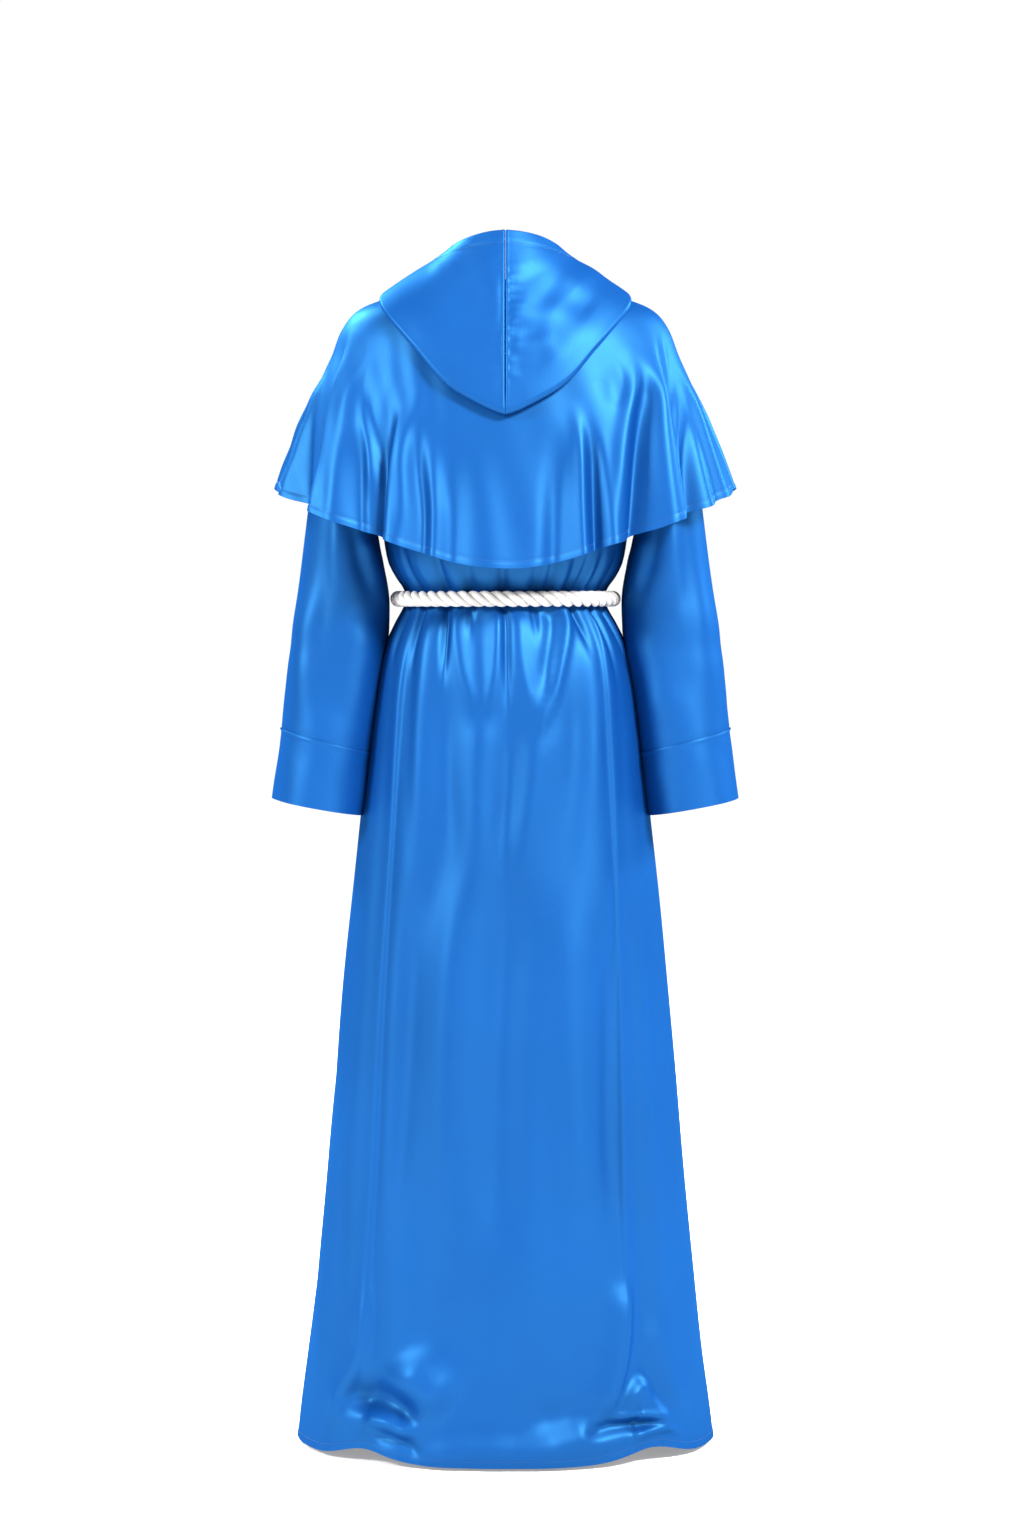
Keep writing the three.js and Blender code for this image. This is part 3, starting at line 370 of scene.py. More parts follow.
# Gathers beside the belt, the soft swags below them, and the long creases of the skirt.
ROBE_CREASES = creases("""
-5 5 5 0 0 0.8: -73 1076, -70 1058, -66.4 1030, -64 985
-5 5 5 0 0 0.8: -58 1076, -55 1055, -52.5 1025, -51 970
-7.5 5 5 0 0 0.6: -41.5 1076, -37.5 1055, -35.7 1040, -34 1005, -33 960
-4 5 5 0 0 0.8: -24 1076, -22.5 1055, -20 1025
-5.5 5.5 5.5 0 0 0.6: -1.4 1076, 0.5 1050, 0.7 1015, 1.3 959, 1.7 911
-4 5 5 0 0 0.8: 19 1076, 19 1050, 18 1020
-5 5 5 0 0 0.8: 45 1076, 46 1050, 48 1000
-6 5 5 0 0 0.8: 59.5 1076, 60 1055, 61 1015, 61 960
-6 5 5 0 0 0.8: 70 1076, 72 1055, 74 1015, 75 960
-5 5 6 0 0 0.7: 81 1076, 83 1050, 84 1000
-5 5 6 0 0 0.7: -83 1076, -81 1050, -80 1000
# the swag at the left and the band of light below it
4 9 9 0 0.1 0.15: -32 1068, -30.6 1053, -26.6 1015, -21.5 973, -15.1 942
4 9 8 0 0.1 0.15: -5.5 1068, -5 1045, -5.4 1008, -7 967, -10.2 937
-3.5 12 12 0 0.1 0.5: -18 1066, -16.8 1040, -15 1005, -13.8 970
6.5 19 22 0 0.2 0.5: -12.5 950, -11.6 925, -12.6 898, -13 843, -12.6 786, -12 690
# the swag at the right
3.5 11 10 0 0.1 0.15: 9 1066, 8.4 1030, 8.6 1008, 11.4 967, 16.2 935
5 8 7 1.5 0 0.2: 39 1072, 38.1 1049, 31 1001, 25.2 959, 19.1 930, 16 900
-6 11 9 0 0.1 0.4: 31 1070, 29.4 1050, 25.2 1015, 21 973, 18.4 950
5 17 19 0 0.2 0.5: 17.5 930, 15.3 883, 12.2 829, 7.8 766, 5 680
# the soft bands down the skirt
-5 15 16 0 0.3 0.5: 1.7 950, 1.7 911, 2 860, 0 790, -2 710
6 13 18 0 0.1 0.4: -47 1070, -44.3 1050, -43.7 1015, -43.5 966, -43 910, -41.9 856, -40 740
-6 18 18 0 0.3 0.5: -31.6 1000, -30.6 925, -29.2 856, -26 780, -24 680
-4.5 17 17 0 0.3 0.5: 39.7 1000, 37.3 938, 34.9 870, 31.4 800, 29 710
4.5 16 16 0 0.2 0.5: 45 1050, 47 1000, 46 940, 44 860, 42 770
3.5 11 5 1.5 0.1 0.1: -62 1068, -60.5 1049, -57.9 1014, -57.6 965, -57.1 881, -56.5 798, -55.3 544,
    -54.2 384, -53.2 223, -51.8 130
4.5 6 12 -2 0.03 0.1: 57 1076, 56.4 1030, 55 965, 54.5 850, 53 703, 49.4 504, 47.4 386, 45 236,
    43 174
2.5 17.5 17.5 0 0.3 0.3: 84 926, 78 743, 77 600, 74 400
-11 32 32 0 0.3 0.3: 2 780, 0 620, -2 420, 0 220
10 26 28 0 0.3 0.35: 27 780, 26 620, 26 440, 29 240
10 28 26 0 0.3 0.35: -24 760, -26 620, -27 440, -30 260
-9 18 18 0 0.3 0.35: -43 760, -42 600, -42 420, -43 230
-7 16 16 0 0.3 0.35: 44 720, 43 560, 41 400, 40 250
# above the belt
-4 6.5 6.5 0 0.6 0: -74 1150, -74 1110, -74.5 1086
-4.5 6.5 6.5 0 0.6 0: -62 1160, -61 1120, -60 1086
2 7.5 7.5 0 0.6 0: -52 1150, -51 1115, -50 1088
-5 6.5 6.5 0 0.7 0: -42 1190, -41 1125, -40.5 1086
2 7.5 7.5 0 0.6 0: -33 1160, -32.5 1115, -32 1088
-4.5 7.5 7.5 0 0.6 0: -22 1160, -23.5 1120, -24.1 1086
2 10.5 10.5 0 0.6 0: -13 1160, -12 1115, -12 1088
-5 6.5 6.5 0 0.7 0: -3 1190, -2 1125, -1.7 1086
2 12 12 0 0.6 0: 10 1160, 11 1115, 12 1088
-4.5 7.5 7.5 0 0.6 0: 20 1160, 20 1120, 20 1086
-5 6.5 6.5 0 0.7 0: 30 1185, 29 1125, 28.8 1086
2.5 6.5 6.5 0 0.6 0: 36 1160, 36.4 1115, 36.5 1088
-4.5 6.5 6.5 0 0.6 0: 43 1160, 42.5 1120, 42.5 1086
-4.5 6.5 6.5 0 0.6 0: 50 1150, 49 1115, 48.8 1086
2 6.5 6.5 0 0.6 0: 54 1150, 53.5 1115, 53 1088
-4.5 6.5 6.5 0 0.6 0: 59 1150, 58 1115, 57.7 1086
-4.5 6.5 6.5 0 0.6 0: 70 1150, 69.5 1115, 69 1086
-4 6.5 6.5 0 0.6 0: 82 1150, 81 1115, 81 1086
# the skirt's break at the left, above the ground
9 16 8 2 0.3 0.25: -51.8 230, -52 170, -52.2 138, -54.6 107, -57.8 84, -58.6 64, -56 48, -50 38
18 38 32 0 0.4 0.4: -40 140, -34 116, -26 92, -18 70
-18 19 20 0 0.25 0.3: -56 60, -52 76, -46 84, -39 80, -33 64, -29 46
8 12 13 0 0.25 0.25: -50 42, -45 50, -39 51, -34 44, -31 34
-6 8 9 0 0.3 0.3: -46 25, -41 29, -36 29, -31 23, -27 22
7 18 18 0 0.3 0.3: -33 12, -24 18, -8.8 24, 6.8 22, 20 22
# the skirt's break at the right
11 22 9 0 0.25 0.2: 45 236, 43.1 174, 40.5 126, 36.7 87, 34.6 66, 37.1 58
14 34 12 0 0.3 0.2: 38 66, 43.5 84, 47.4 95, 49.8 74, 53.4 50, 58.1 35
-10 10 10 0 0.25 0.25: 25.6 40, 34.7 48, 42.5 47, 49.2 42, 55.7 40
6 7 7 0 0.25 0.25: 34.9 63, 40.9 59, 47.6 56, 54.7 46
6 7.5 7.5 0 0.25 0.25: 41 24, 45.4 28, 51.8 32, 57.5 30, 61 22
8 24 22 0 0.4 0.35: 2 24, 11 24, 22.1 32, 30 44, 35 62
-5 20 20 0 0.4 0.4: 6 74, 15 66, 24 70, 30 86
6 25 25 0 0.3 0.3: 52 190, 56 130, 60 80, 66 40
# the front and the sides
-8 5 6 0 0 0.7: 100 1076, 99 1050, 98 990
-9 5 6 0 0 0.7: 113 1076, 112 1045, 110 960
4 7.5 11 0 0.1 0.5: 120 1072, 119 1020, 118 940, 118 800
-9 5 6 0 0 0.7: 127 1076, 127 1045, 129 960
-8 5 5 0 0 0.7: 139 1076, 139 1045, 140 970
4.5 5 11 -1.5 0.05 0.1: 146 1074, 146 1000, 147 850, 146 650, 144 400, 143 180
-9 5 6 0 0 0.6: 152 1076, 152 1045, 151 960, 151 900
-8 5 5 0 0 0.7: 163 1076, 164 1045, 166 970
4 11 11 0 0.2 0.5: 170 1060, 171 1000, 172 900, 173 760
-9 6 6 0 0 0.6: 180 1076, 180 1045, 180 960, 180 880
4 11 11 0 0.2 0.5: 190 1060, 190 1000, 189 900, 189 760
-8 5 5 0 0 0.7: 199 1076, 198 1045, 196 970
-9 5 6 0 0 0.6: 210 1076, 210 1045, 211 960, 212 900
4.5 11 5 1.5 0.05 0.1: 216 1074, 216 1000, 215 850, 217 650, 219 400, 221 180
-8 5 5 0 0 0.7: 224 1076, 224 1045, 222 970
-9 5 6 0 0 0.7: 237 1076, 237 1045, 236 960
4 7.5 11 0 0.1 0.5: 244 1072, 244 1020, 245 940, 246 800
-8 5 6 0 0 0.7: 252 1076, 253 1050, 254 990
-5 5 5 0 0.6 0: 101 1150, 101 1115, 101 1086
-6 5 5 0 0.6 0: 114 1165, 114 1120, 114 1086
-6 5 5 0 0.6 0: 128 1160, 128 1120, 128 1086
3 6 6 0 0.6 0: 135 1160, 135 1120, 135 1088
-7 5 5 0 0.6 0: 143 1185, 143 1125, 143 1086
-6 5 5 0 0.6 0: 157 1160, 157 1120, 157 1086
3 7.5 7.5 0 0.6 0: 165 1160, 165 1120, 165 1088
-7 5 5 0 0.6 0: 173 1185, 173 1125, 173 1086
-6 5 5 0 0.6 0: 188 1160, 188 1120, 188 1086
3 7.5 7.5 0 0.6 0: 196 1160, 196 1120, 196 1088
-7 5 5 0 0.6 0: 204 1185, 204 1125, 204 1086
-6 5 5 0 0.6 0: 217 1160, 217 1120, 217 1086
-6 5 5 0 0.6 0: 232 1165, 232 1120, 232 1086
-5 5 5 0 0.6 0: 246 1155, 246 1120, 246 1086
-5 5 5 0 0.6 0: 259 1150, 259 1115, 259 1086
4 11 15 0 0.35 0.3: 132 150, 139 96, 150 62, 162 40
-5 11 11 0 0.3 0.3: 128 70, 137 52, 148 34, 158 24
4 15 11 0 0.35 0.3: 226 160, 220 104, 209 66, 199 42
-5 11 11 0 0.3 0.3: 233 78, 223 56, 212 36, 203 24""")
ROBE_RIPPLES = ripples(23, 1.0, (60, 170), (260, 800))


# Between these two rows the creases begin to press the cloth inwards, and the ripples begin.
CAPE_RESTS = (4, 7.5)
ROBE_RESTS = (0, 1)
RIPPLES_BEGIN = (3, 6)
LIFT_FADES = 90


def surface(bearing, at, sections, depth_of, rows, ripple, rest, lifts=None):
    """Points of cloth on the plain form, with its folds, creases and ripples."""
    bearing, at = np.broadcast_arrays(bearing, np.asarray(at, float))
    bearing = np.array(bearing)
    step = 1e-3

    def form(b, a):
        radius, height = section_form(sections, b, a)
        return polar(radius, b, height)
    radius, height = section_form(sections, bearing, at)
    points = polar(radius - depth_of(bearing, height, radius), bearing, height)
    around = unit(form(bearing + step, at) - form(bearing - step, at))
    down = unit(form(bearing, at + step) - form(bearing, at - step))
    out = unit(np.cross(down, around))
    rise, aside = pressed(bearing, height, radius, rows)
    rise = np.where(rise < 0, rise * smooth(at, *rest), rise)
    rise = rise + ripple(turn(bearing, math.pi / 4) * radius, height) * smooth(at, *RIPPLES_BEGIN)
    points = points + out * rise[..., None] + around * aside[..., None]
    if lifts is not None:
        for row in rows_of(lifts):
            across = turn(bearing, np.radians(row["bearing"])) * radius / row["across"]
            low = 1 - smooth(height, 0, LIFT_FADES)
            points[..., 2] += row["rise"] * np.exp(-across * across) * low
    return points


def cape_surface(bearing, at):
    return surface(bearing, at, CAPE_SECTIONS, cape_fold_depth, CAPE_CREASES, CAPE_RIPPLES, CAPE_RESTS)


def robe_surface(bearing, at):
    return surface(bearing, at, ROBE_TABLE, skirt_fold_depth, ROBE_CREASES, ROBE_RIPPLES, ROBE_RESTS,
                   HEM_LIFTS)


# Cloth as a thin closed shell.
HEM_TURN = 9


class Cloth:
    """Points on the outer face of a piece of cloth: rows go down and columns to the right, as seen
    from outside. A wrapping piece is a tube."""

    def __init__(self, points, wraps=False):
        self.points = points
        self.wraps = wraps
        self.normals = self.find_normals()

    def find_normals(self):
        p = self.points
        if self.wraps:
            right = np.roll(p, -1, axis=1) - np.roll(p, 1, axis=1)
        else:
            right = np.gradient(p, axis=1)
        return unit(np.cross(np.gradient(p, axis=0), right))

    def from_edge(self, edge):
        """Each point's distance from the low or top edge, along its column."""
        lengths = along_curve(self.points)
        return lengths[-1] - lengths if edge == "low" else lengths

    def press(self, amount):
        self.points = self.points + self.normals * amount[..., None]
        self.normals = self.find_normals()

    def turned_hem(self, distance, depth=HEM_TURN, thick=0.5):
        """A hem turned up once: thicker to its stitches, which pull a groove in it."""
        groove = np.exp(-(((distance - depth) / 1.3) ** 2))
        self.press(thick * (1 - smooth(distance, depth - 0.5, depth + 2.5)) - 0.75 * groove)

    def line(self, distance, value, inset=0):
        """Points and normals where a distance field has a value, one for each column."""
        columns = range(inset, self.points.shape[1] - inset)
        found, normals = [], []
        for j in columns:
            d = distance[:, j]
            order = np.argsort(d)
            found.append([np.interp(value, d[order], self.points[order, j, k]) for k in range(3)])
            normals.append([np.interp(value, d[order], self.normals[order, j, k]) for k in range(3)])
        if self.wraps:
            found.append(found[0])
            normals.append(normals[0])
        return np.array(found), unit(np.array(normals))

    def build(self, name):
        """A closed shell. Its corners are named by row, column and 1 on the inner face."""
        rows, columns = self.points.shape[:2]
        spans = columns if self.wraps else columns - 1
        i, j = (v.ravel() for v in np.meshgrid(np.arange(rows - 1), np.arange(spans), indexing="ij"))
        k, m, end, edge = np.arange(spans), np.arange(rows - 1), rows - 1, columns - 1

        def faces_of(*corners):
            return np.stack([np.stack(np.broadcast_arrays(*corner), -1) for corner in corners], 1)
        sides = [
            faces_of((i, j, 0), (i + 1, j, 0), (i + 1, j + 1, 0), (i, j + 1, 0)),
            faces_of((i, j + 1, 1), (i + 1, j + 1, 1), (i + 1, j, 1), (i, j, 1)),
            faces_of((0, k, 0), (0, k + 1, 0), (0, k + 1, 1), (0, k, 1)),
            faces_of((end, k, 0), (end, k, 1), (end, k + 1, 1), (end, k + 1, 0)),
        ]
        if not self.wraps:
            sides += [
                faces_of((m, 0, 0), (m, 0, 1), (m + 1, 0, 1), (m + 1, 0, 0)),
                faces_of((m, edge, 0), (m + 1, edge, 0), (m + 1, edge, 1), (m, edge, 1)),
            ]
        row, column, inner = np.moveaxis(np.concatenate(sides), -1, 0)
        faces = (inner * rows + row) * columns + column % columns
        whole = np.concatenate([self.points, self.points[:, :1]], 1) if self.wraps else self.points
        across, down = along_curve(np.swapaxes(whole, 0, 1)).T, along_curve(whole)
        uv = np.stack([across - across[:, -1:] / 2, -down], -1)[row.ravel(), column.ravel()]
        shell = np.concatenate([self.points, self.points - self.normals * SHELL])
        return new_object(name, shell.reshape(-1, 3), faces.tolist(), uv)


STITCH_RINGS = [(-0.5, 0.35), (-0.2, 1), (0.2, 1), (0.5, 0.35)]


def stitches(name, path, normals, pitch=3.2, length=2.4, width=0.55, proud=0.22):
    """A row of small thread stitches along a line of points and normals."""
    lengths = along_curve(path)
    at = np.arange(pitch, lengths[-1] - pitch, pitch)

    def sampled(values, places):
        return np.stack([np.interp(places, lengths, values[:, k]) for k in range(3)], -1)
    middle, out = sampled(path, at), unit(sampled(normals, at))
    along = unit(sampled(path, at + 0.5) - middle)
    side = unit(np.cross(out, along))
    rings = []
    for place, size in STITCH_RINGS:
        centre = middle + along * place * length + out * proud * size
        rings.append([centre + side * (width / 2 * size * x) + out * (width / 3 * size * z)
                      for x, z in ((1, 0), (0, 1), (-1, 0), (0, -1))])
    points = np.array(rings).transpose(2, 0, 1, 3).reshape(-1, 3)
    end = 4 * (len(STITCH_RINGS) - 1)
    faces = []
    for base in range(0, len(points), end + 4):
        for a in range(base, base + end, 4):
            faces += [(a + k, a + 4 + k, a + 4 + (k + 1) % 4, a + (k + 1) % 4) for k in range(4)]
        faces += [tuple(range(base, base + 4)), tuple(range(base + end + 3, base + end - 1, -1))]
    return new_object(name, points, faces)


def row_list(sections, spacing_at, extra=()):
    """Rows from the top section to the last, spaced as the heights at the back ask."""
    last = len(sections["side"]) - 1
    fine = np.linspace(0, last, 4000)
    side, back, wide = (between(sections[key], fine) for key in ("side", "back", "width"))
    step = np.hypot(np.maximum(np.abs(np.diff(side)), np.abs(np.diff(back))), np.diff(wide))
    density = np.concatenate([[0], np.cumsum(step / spacing_at((back[1:] + back[:-1]) / 2))])
    count = int(density[-1]) + 1
    rows = np.interp(np.linspace(0, density[-1], count + 1), density, fine)
    near = np.array(extra)
    rows = rows[np.all(np.abs(rows[:, None] - near) > 0.02, axis=1)] if len(near) else rows
    return np.sort(np.concatenate([rows, near]))


# The rope: three strands laid round one another.
LAY = 43
STRAND = 0.475
STRAND_OUT = 0.535


def rope(name, path, right, up, radius=ROPE_RADIUS, lay=LAY, sides=14):
    """A three-strand rope on a path of points, with two directions across it."""
    lengths = along_curve(path)
    thick, out = radius * STRAND, radius * STRAND_OUT
    points, faces, uv = [], [], []
    angles = np.linspace(0, 2 * math.pi, sides, endpoint=False)
    count = len(path)
    for strand in range(3):
        twist = 2 * math.pi * (lengths / lay + strand / 3)
        away = np.cos(twist)[:, None] * right + np.sin(twist)[:, None] * up
        middle = path + away * out
        forward = unit(np.gradient(middle, axis=0))
        away = unit(away - forward * np.sum(away * forward, -1, keepdims=True))
        across = np.cross(forward, away)
        size = np.ones(count)
        size[[0, -1]] = 0.3
        ring = (np.cos(angles)[None, :, None] * away[:, None]
                + np.sin(angles)[None, :, None] * across[:, None])
        base = strand * count * sides
        points.append((middle[:, None] + ring * (thick * size)[:, None, None]).reshape(-1, 3))
        for i in range(count - 1):
            for k in range(sides):
                n = (k + 1) % sides
                a = base + i * sides
                faces.append((a + k, a + n, a + sides + n, a + sides + k))
                uv += [(k, i), (k + 1, i), (k + 1, i + 1), (k, i + 1)]
        end = base + (count - 1) * sides
        faces += [tuple(base + k for k in reversed(range(sides))), tuple(end + k for k in range(sides))]
        uv += [(k, 0) for k in reversed(range(sides))] + [(k, count - 1) for k in range(sides)]
    uv = np.array(uv, float)
    place = np.interp(uv[:, 1], np.arange(count), lengths)
    uv = np.stack([uv[:, 0] * 2 * math.pi * thick / sides, place], -1)
    return new_object(name, np.concatenate(points), faces, uv)


def robe_outline(bearing, height):
    """The robe's plain outline at a height at the belt or below it."""
    heights, last = ROBE_TABLE["side"][RESTING_ROWS:], len(ROBE_TABLE["side"]) - 1
    row = np.interp(-np.asarray(height, float), -heights, np.arange(RESTING_ROWS, last + 1))
    for _ in range(30):
        found = section_form(ROBE_TABLE, bearing, row)[1]
        slope = section_form(ROBE_TABLE, bearing, row + 1e-3)[1] - found
        slope = np.where(np.abs(slope) < 1e-7, -1e-7, slope)
        row = np.clip(row - (found - height) / slope * 1e-3, RESTING_ROWS, last)
    return polar(section_form(ROBE_TABLE, bearing, row)[0], bearing, height)


KNOT = dict(width=46, height=38, depth=26)
TIP = dict(width=30, height=34)
TAILS = {
    "left": dict(side=-1, length=350, top_x=11, low_x=21),
    "right": dict(side=1, length=400, top_x=11, low_x=27),
}
TAIL_CLEARANCE = dict(top=0.6, low=7)
X, Y, Z = np.eye(3)


def tail_point(tail, share):
    share = np.asarray(share, float)
    top = BELT_HEIGHT - KNOT["height"] / 2 - SEAM_GAP
    height = top - tail["length"] * share
    x = tail["side"] * (tail["top_x"] + (tail["low_x"] - tail["top_x"]) * share)
    low, clearance = TAIL_CLEARANCE["low"], TAIL_CLEARANCE["top"]
    out = ROPE_RADIUS + clearance + (low - clearance) * share**2
    front = robe_outline(np.full(share.shape, math.pi), height)[..., 1]
    return np.stack([x, front + out, height], -1)


def wrapped_knot(name, centre, axis, length, half_a, half_b, thick, turns):
    """A barrel knot: turns of rope laid side by side round an axis, with their ends tucked in."""
    side_a, side_b = (Y, Z) if axis is X else (X, Y)
    t = np.linspace(0, 1, 44 * turns)
    angle = 2 * math.pi * turns * t
    tuck = 1 - 0.55 * (1 - smooth(t, 0, 0.09)) - 0.55 * smooth(t, 0.91, 1)
    swell = 0.86 + 0.14 * np.sin(math.pi * t)
    a, b = (half_a - thick) * tuck * swell, (half_b - thick) * tuck * swell
    ring = np.cos(angle)[:, None] * side_a * a[:, None] + np.sin(angle)[:, None] * side_b * b[:, None]
    path = centre + ring + axis * ((t - 0.5) * (length - 2 * thick))[:, None]
    forward = unit(np.gradient(path, axis=0))
    up = unit(ring)
    up = unit(up - forward * np.sum(up * forward, -1, keepdims=True))
    return rope(name, path, np.cross(up, forward), up, radius=thick, lay=thick * 4.3, sides=9)


ROPE_SHARES = np.linspace(0, 1, 200)
ROUTE_SHARES = np.linspace(0, 1, 24)
BELT_POINTS = 420
TIP_ROPE, TIP_TURNS = 5, 3
KNOT_ROPE, KNOT_TURNS = 6.2, 3
tips, tails = {}, {}
for key, tail in TAILS.items():
    centre = tail_point(tail, 1) - Z * (SEAM_GAP + TIP["height"] / 2)
    half = TIP["width"] / 2
    size = (TIP["height"], half, half, TIP_ROPE, TIP_TURNS)
    tips[key] = wrapped_knot(f"rope_tip_{key}", centre, Z, *size)
    level, aside = (np.tile(axis, (len(ROPE_SHARES), 1)) for axis in (Y, X))
    tails[key] = rope(f"rope_tail_{key}", tail_point(tail, ROPE_SHARES), level, aside, sides=12)
    route = (tail_point(tail, ROUTE_SHARES) - [0, 0, ORIGIN_ABOVE_GROUND]) / 1000
    route = [tuple(float(v) for v in p) for p in route]

belt_front = robe_outline(np.array(math.pi), np.array(float(BELT_HEIGHT)))[1]
knot_centre = np.array([0, belt_front + KNOT["depth"] / 2 + SEAM_GAP, BELT_HEIGHT])
knot = wrapped_knot("rope_knot", knot_centre, X, KNOT["width"], KNOT["depth"] / 2, KNOT["height"] / 2,
                    KNOT_ROPE, KNOT_TURNS)
half_gap = math.atan2(KNOT["width"] / 2 + SEAM_GAP, belt_front + ROPE_RADIUS)
belt_bearings = np.linspace(-math.pi + half_gap, math.pi - half_gap, BELT_POINTS)
belt_base = robe_outline(belt_bearings, np.full(BELT_POINTS, float(BELT_HEIGHT)))
belt_out = unit(np.cross(np.gradient(belt_base, axis=0), Z))
belt_path = belt_base + belt_out * (ROPE_RADIUS + SEAM_GAP)
belt = rope("rope_belt", belt_path, np.tile(Z, (BELT_POINTS, 1)), belt_out)


# The robe's two panels, cut back at the armholes.
ROBE_LAST = len(ROBE_TABLE["side"]) - 1


def row_of_width(low, high):
    """The row where the robe is as wide as the armholes are apart."""
    for _ in range(40):
        middle = (low + high) / 2
        if between(ROBE_TABLE["width"], np.array(middle)) > ARMHOLE_PLANE:
            high = middle
        else:
            low = middle
    return high


SHOULDER_ROW = row_of_width(2, RESTING_ROWS)
UNDERARM_ROW = row_of_width(RESTING_ROWS + 4, RESTING_ROWS)


def panel_edge(at, front):
    width = between(ROBE_TABLE["width"], at)
    depth = between(ROBE_TABLE["front_depth" if front else "back_depth"], at)
    seam = math.pi / 2 - SEAM_GAP / 2 / width
    plane = ARMHOLE_PLANE - SEAM_GAP / 2
    inside = np.clip(1 - (plane / np.maximum(width, plane)) ** SQUARENESS, 0, 1)
    cut = np.arctan2(plane, depth * inside ** (1 / SQUARENESS))
    return np.where((width <= plane) | (at >= BELT_ROW), seam, np.minimum(seam, cut))


# How far apart the rows are: plainly, and how much closer at the belt and at the hem.
ROBE_SPACING = dict(plain=12.5, belt=9.4, hem=9, belt_reach=34, hem_reach=(90, 170))
CAPE_SPACING = dict(plain=4.4, hem=1.4, hem_reach=(1130, 1180))
UNDER_CAPE = dict(inwards=3, reach=(1205, 1290))


def robe_spacing(height):
    near_belt = np.exp(-(((height - BELT_HEIGHT) / ROBE_SPACING["belt_reach"]) ** 2))
    near_hem = 1 - smooth(height, *ROBE_SPACING["hem_reach"])
    return ROBE_SPACING["plain"] - ROBE_SPACING["belt"] * near_belt - ROBE_SPACING["hem"] * near_hem


def cape_spacing(height):
    near_hem = 1 - smooth(height, *CAPE_SPACING["hem_reach"])
    return CAPE_SPACING["plain"] - CAPE_SPACING["hem"] * near_hem


ROBE_ROWS = row_list(ROBE_TABLE, robe_spacing, (SHOULDER_ROW, UNDERARM_ROW))


def hem_rows(rows, last, reach):
    """Adds rows close to the edge, so that it turns over within the cloth's own thickness."""
    return np.concatenate([rows[:-1], [last - 1.2 / reach, last - 0.4 / reach, last]])


ROBE_ROWS = hem_rows(ROBE_ROWS, ROBE_LAST, 45)
robe = {}
for name, middle, columns in (("back", 0, 270), ("front", math.pi, 190)):
    edge = panel_edge(ROBE_ROWS, name == "front")
    bearings = middle + edge[:, None] * np.linspace(-1, 1, columns + 1)
    robe[name] = Cloth(robe_surface(bearings, ROBE_ROWS[:, None]))
    robe[name].press(-UNDER_CAPE["inwards"] * smooth(robe[name].points[..., 2], *UNDER_CAPE["reach"]))
    robe[name].turned_hem(robe[name].from_edge("low"))

cape = {}
CAPE_LAST = len(CAPE_SECTIONS["side"]) - 1
CAPE_ROWS = hem_rows(row_list(CAPE_SECTIONS, cape_spacing), CAPE_LAST, 60)
for name, middle, columns in (("back", 0, 320), ("front", math.pi, 220)):
    edge = math.pi / 2 - SEAM_GAP / 2 / between(CAPE_SECTIONS["width"], CAPE_ROWS)
    bearings = middle + edge[:, None] * np.linspace(-1, 1, columns + 1)
    cape[name] = Cloth(cape_surface(bearings, CAPE_ROWS[:, None]))
    cape[name].turned_hem(cape[name].from_edge("low"))

# Sleeves and cuffs. Sections give the inner and outer end as seen from behind, and the half depth.
SLEEVE_COLUMNS = "inner_x inner outer_x outer depth"
SLEEVE_SECTIONS = table(SLEEVE_COLUMNS, [
    (168, 1212, 196, 1419, 72),
    (168, 1196, 218, 1378, 74),
    (167, 1176, 233, 1318, 74),
    (163, 1152, 245, 1236, 73),
    (157, 1124, 256, 1152, 73),
    (149.5, 1082, 264, 1092, 74),
    (150, 1036, 271, 1048, 76),
    (152, 1006, 274, 1020, 77),
    (157, 976, 278, 992, 79),
    (163, 930, 282, 952, 81),
    (169, 882, 286, 913, 83),
])
CUFF_SECTIONS = table(SLEEVE_COLUMNS, [
    (169, 881.4, 286, 912.4, 83),
    (173.5, 842, 292, 868, 84.5),
    (178, 804, 298, 826, 86),
])
SLEEVE_CLEARANCE = 1.2
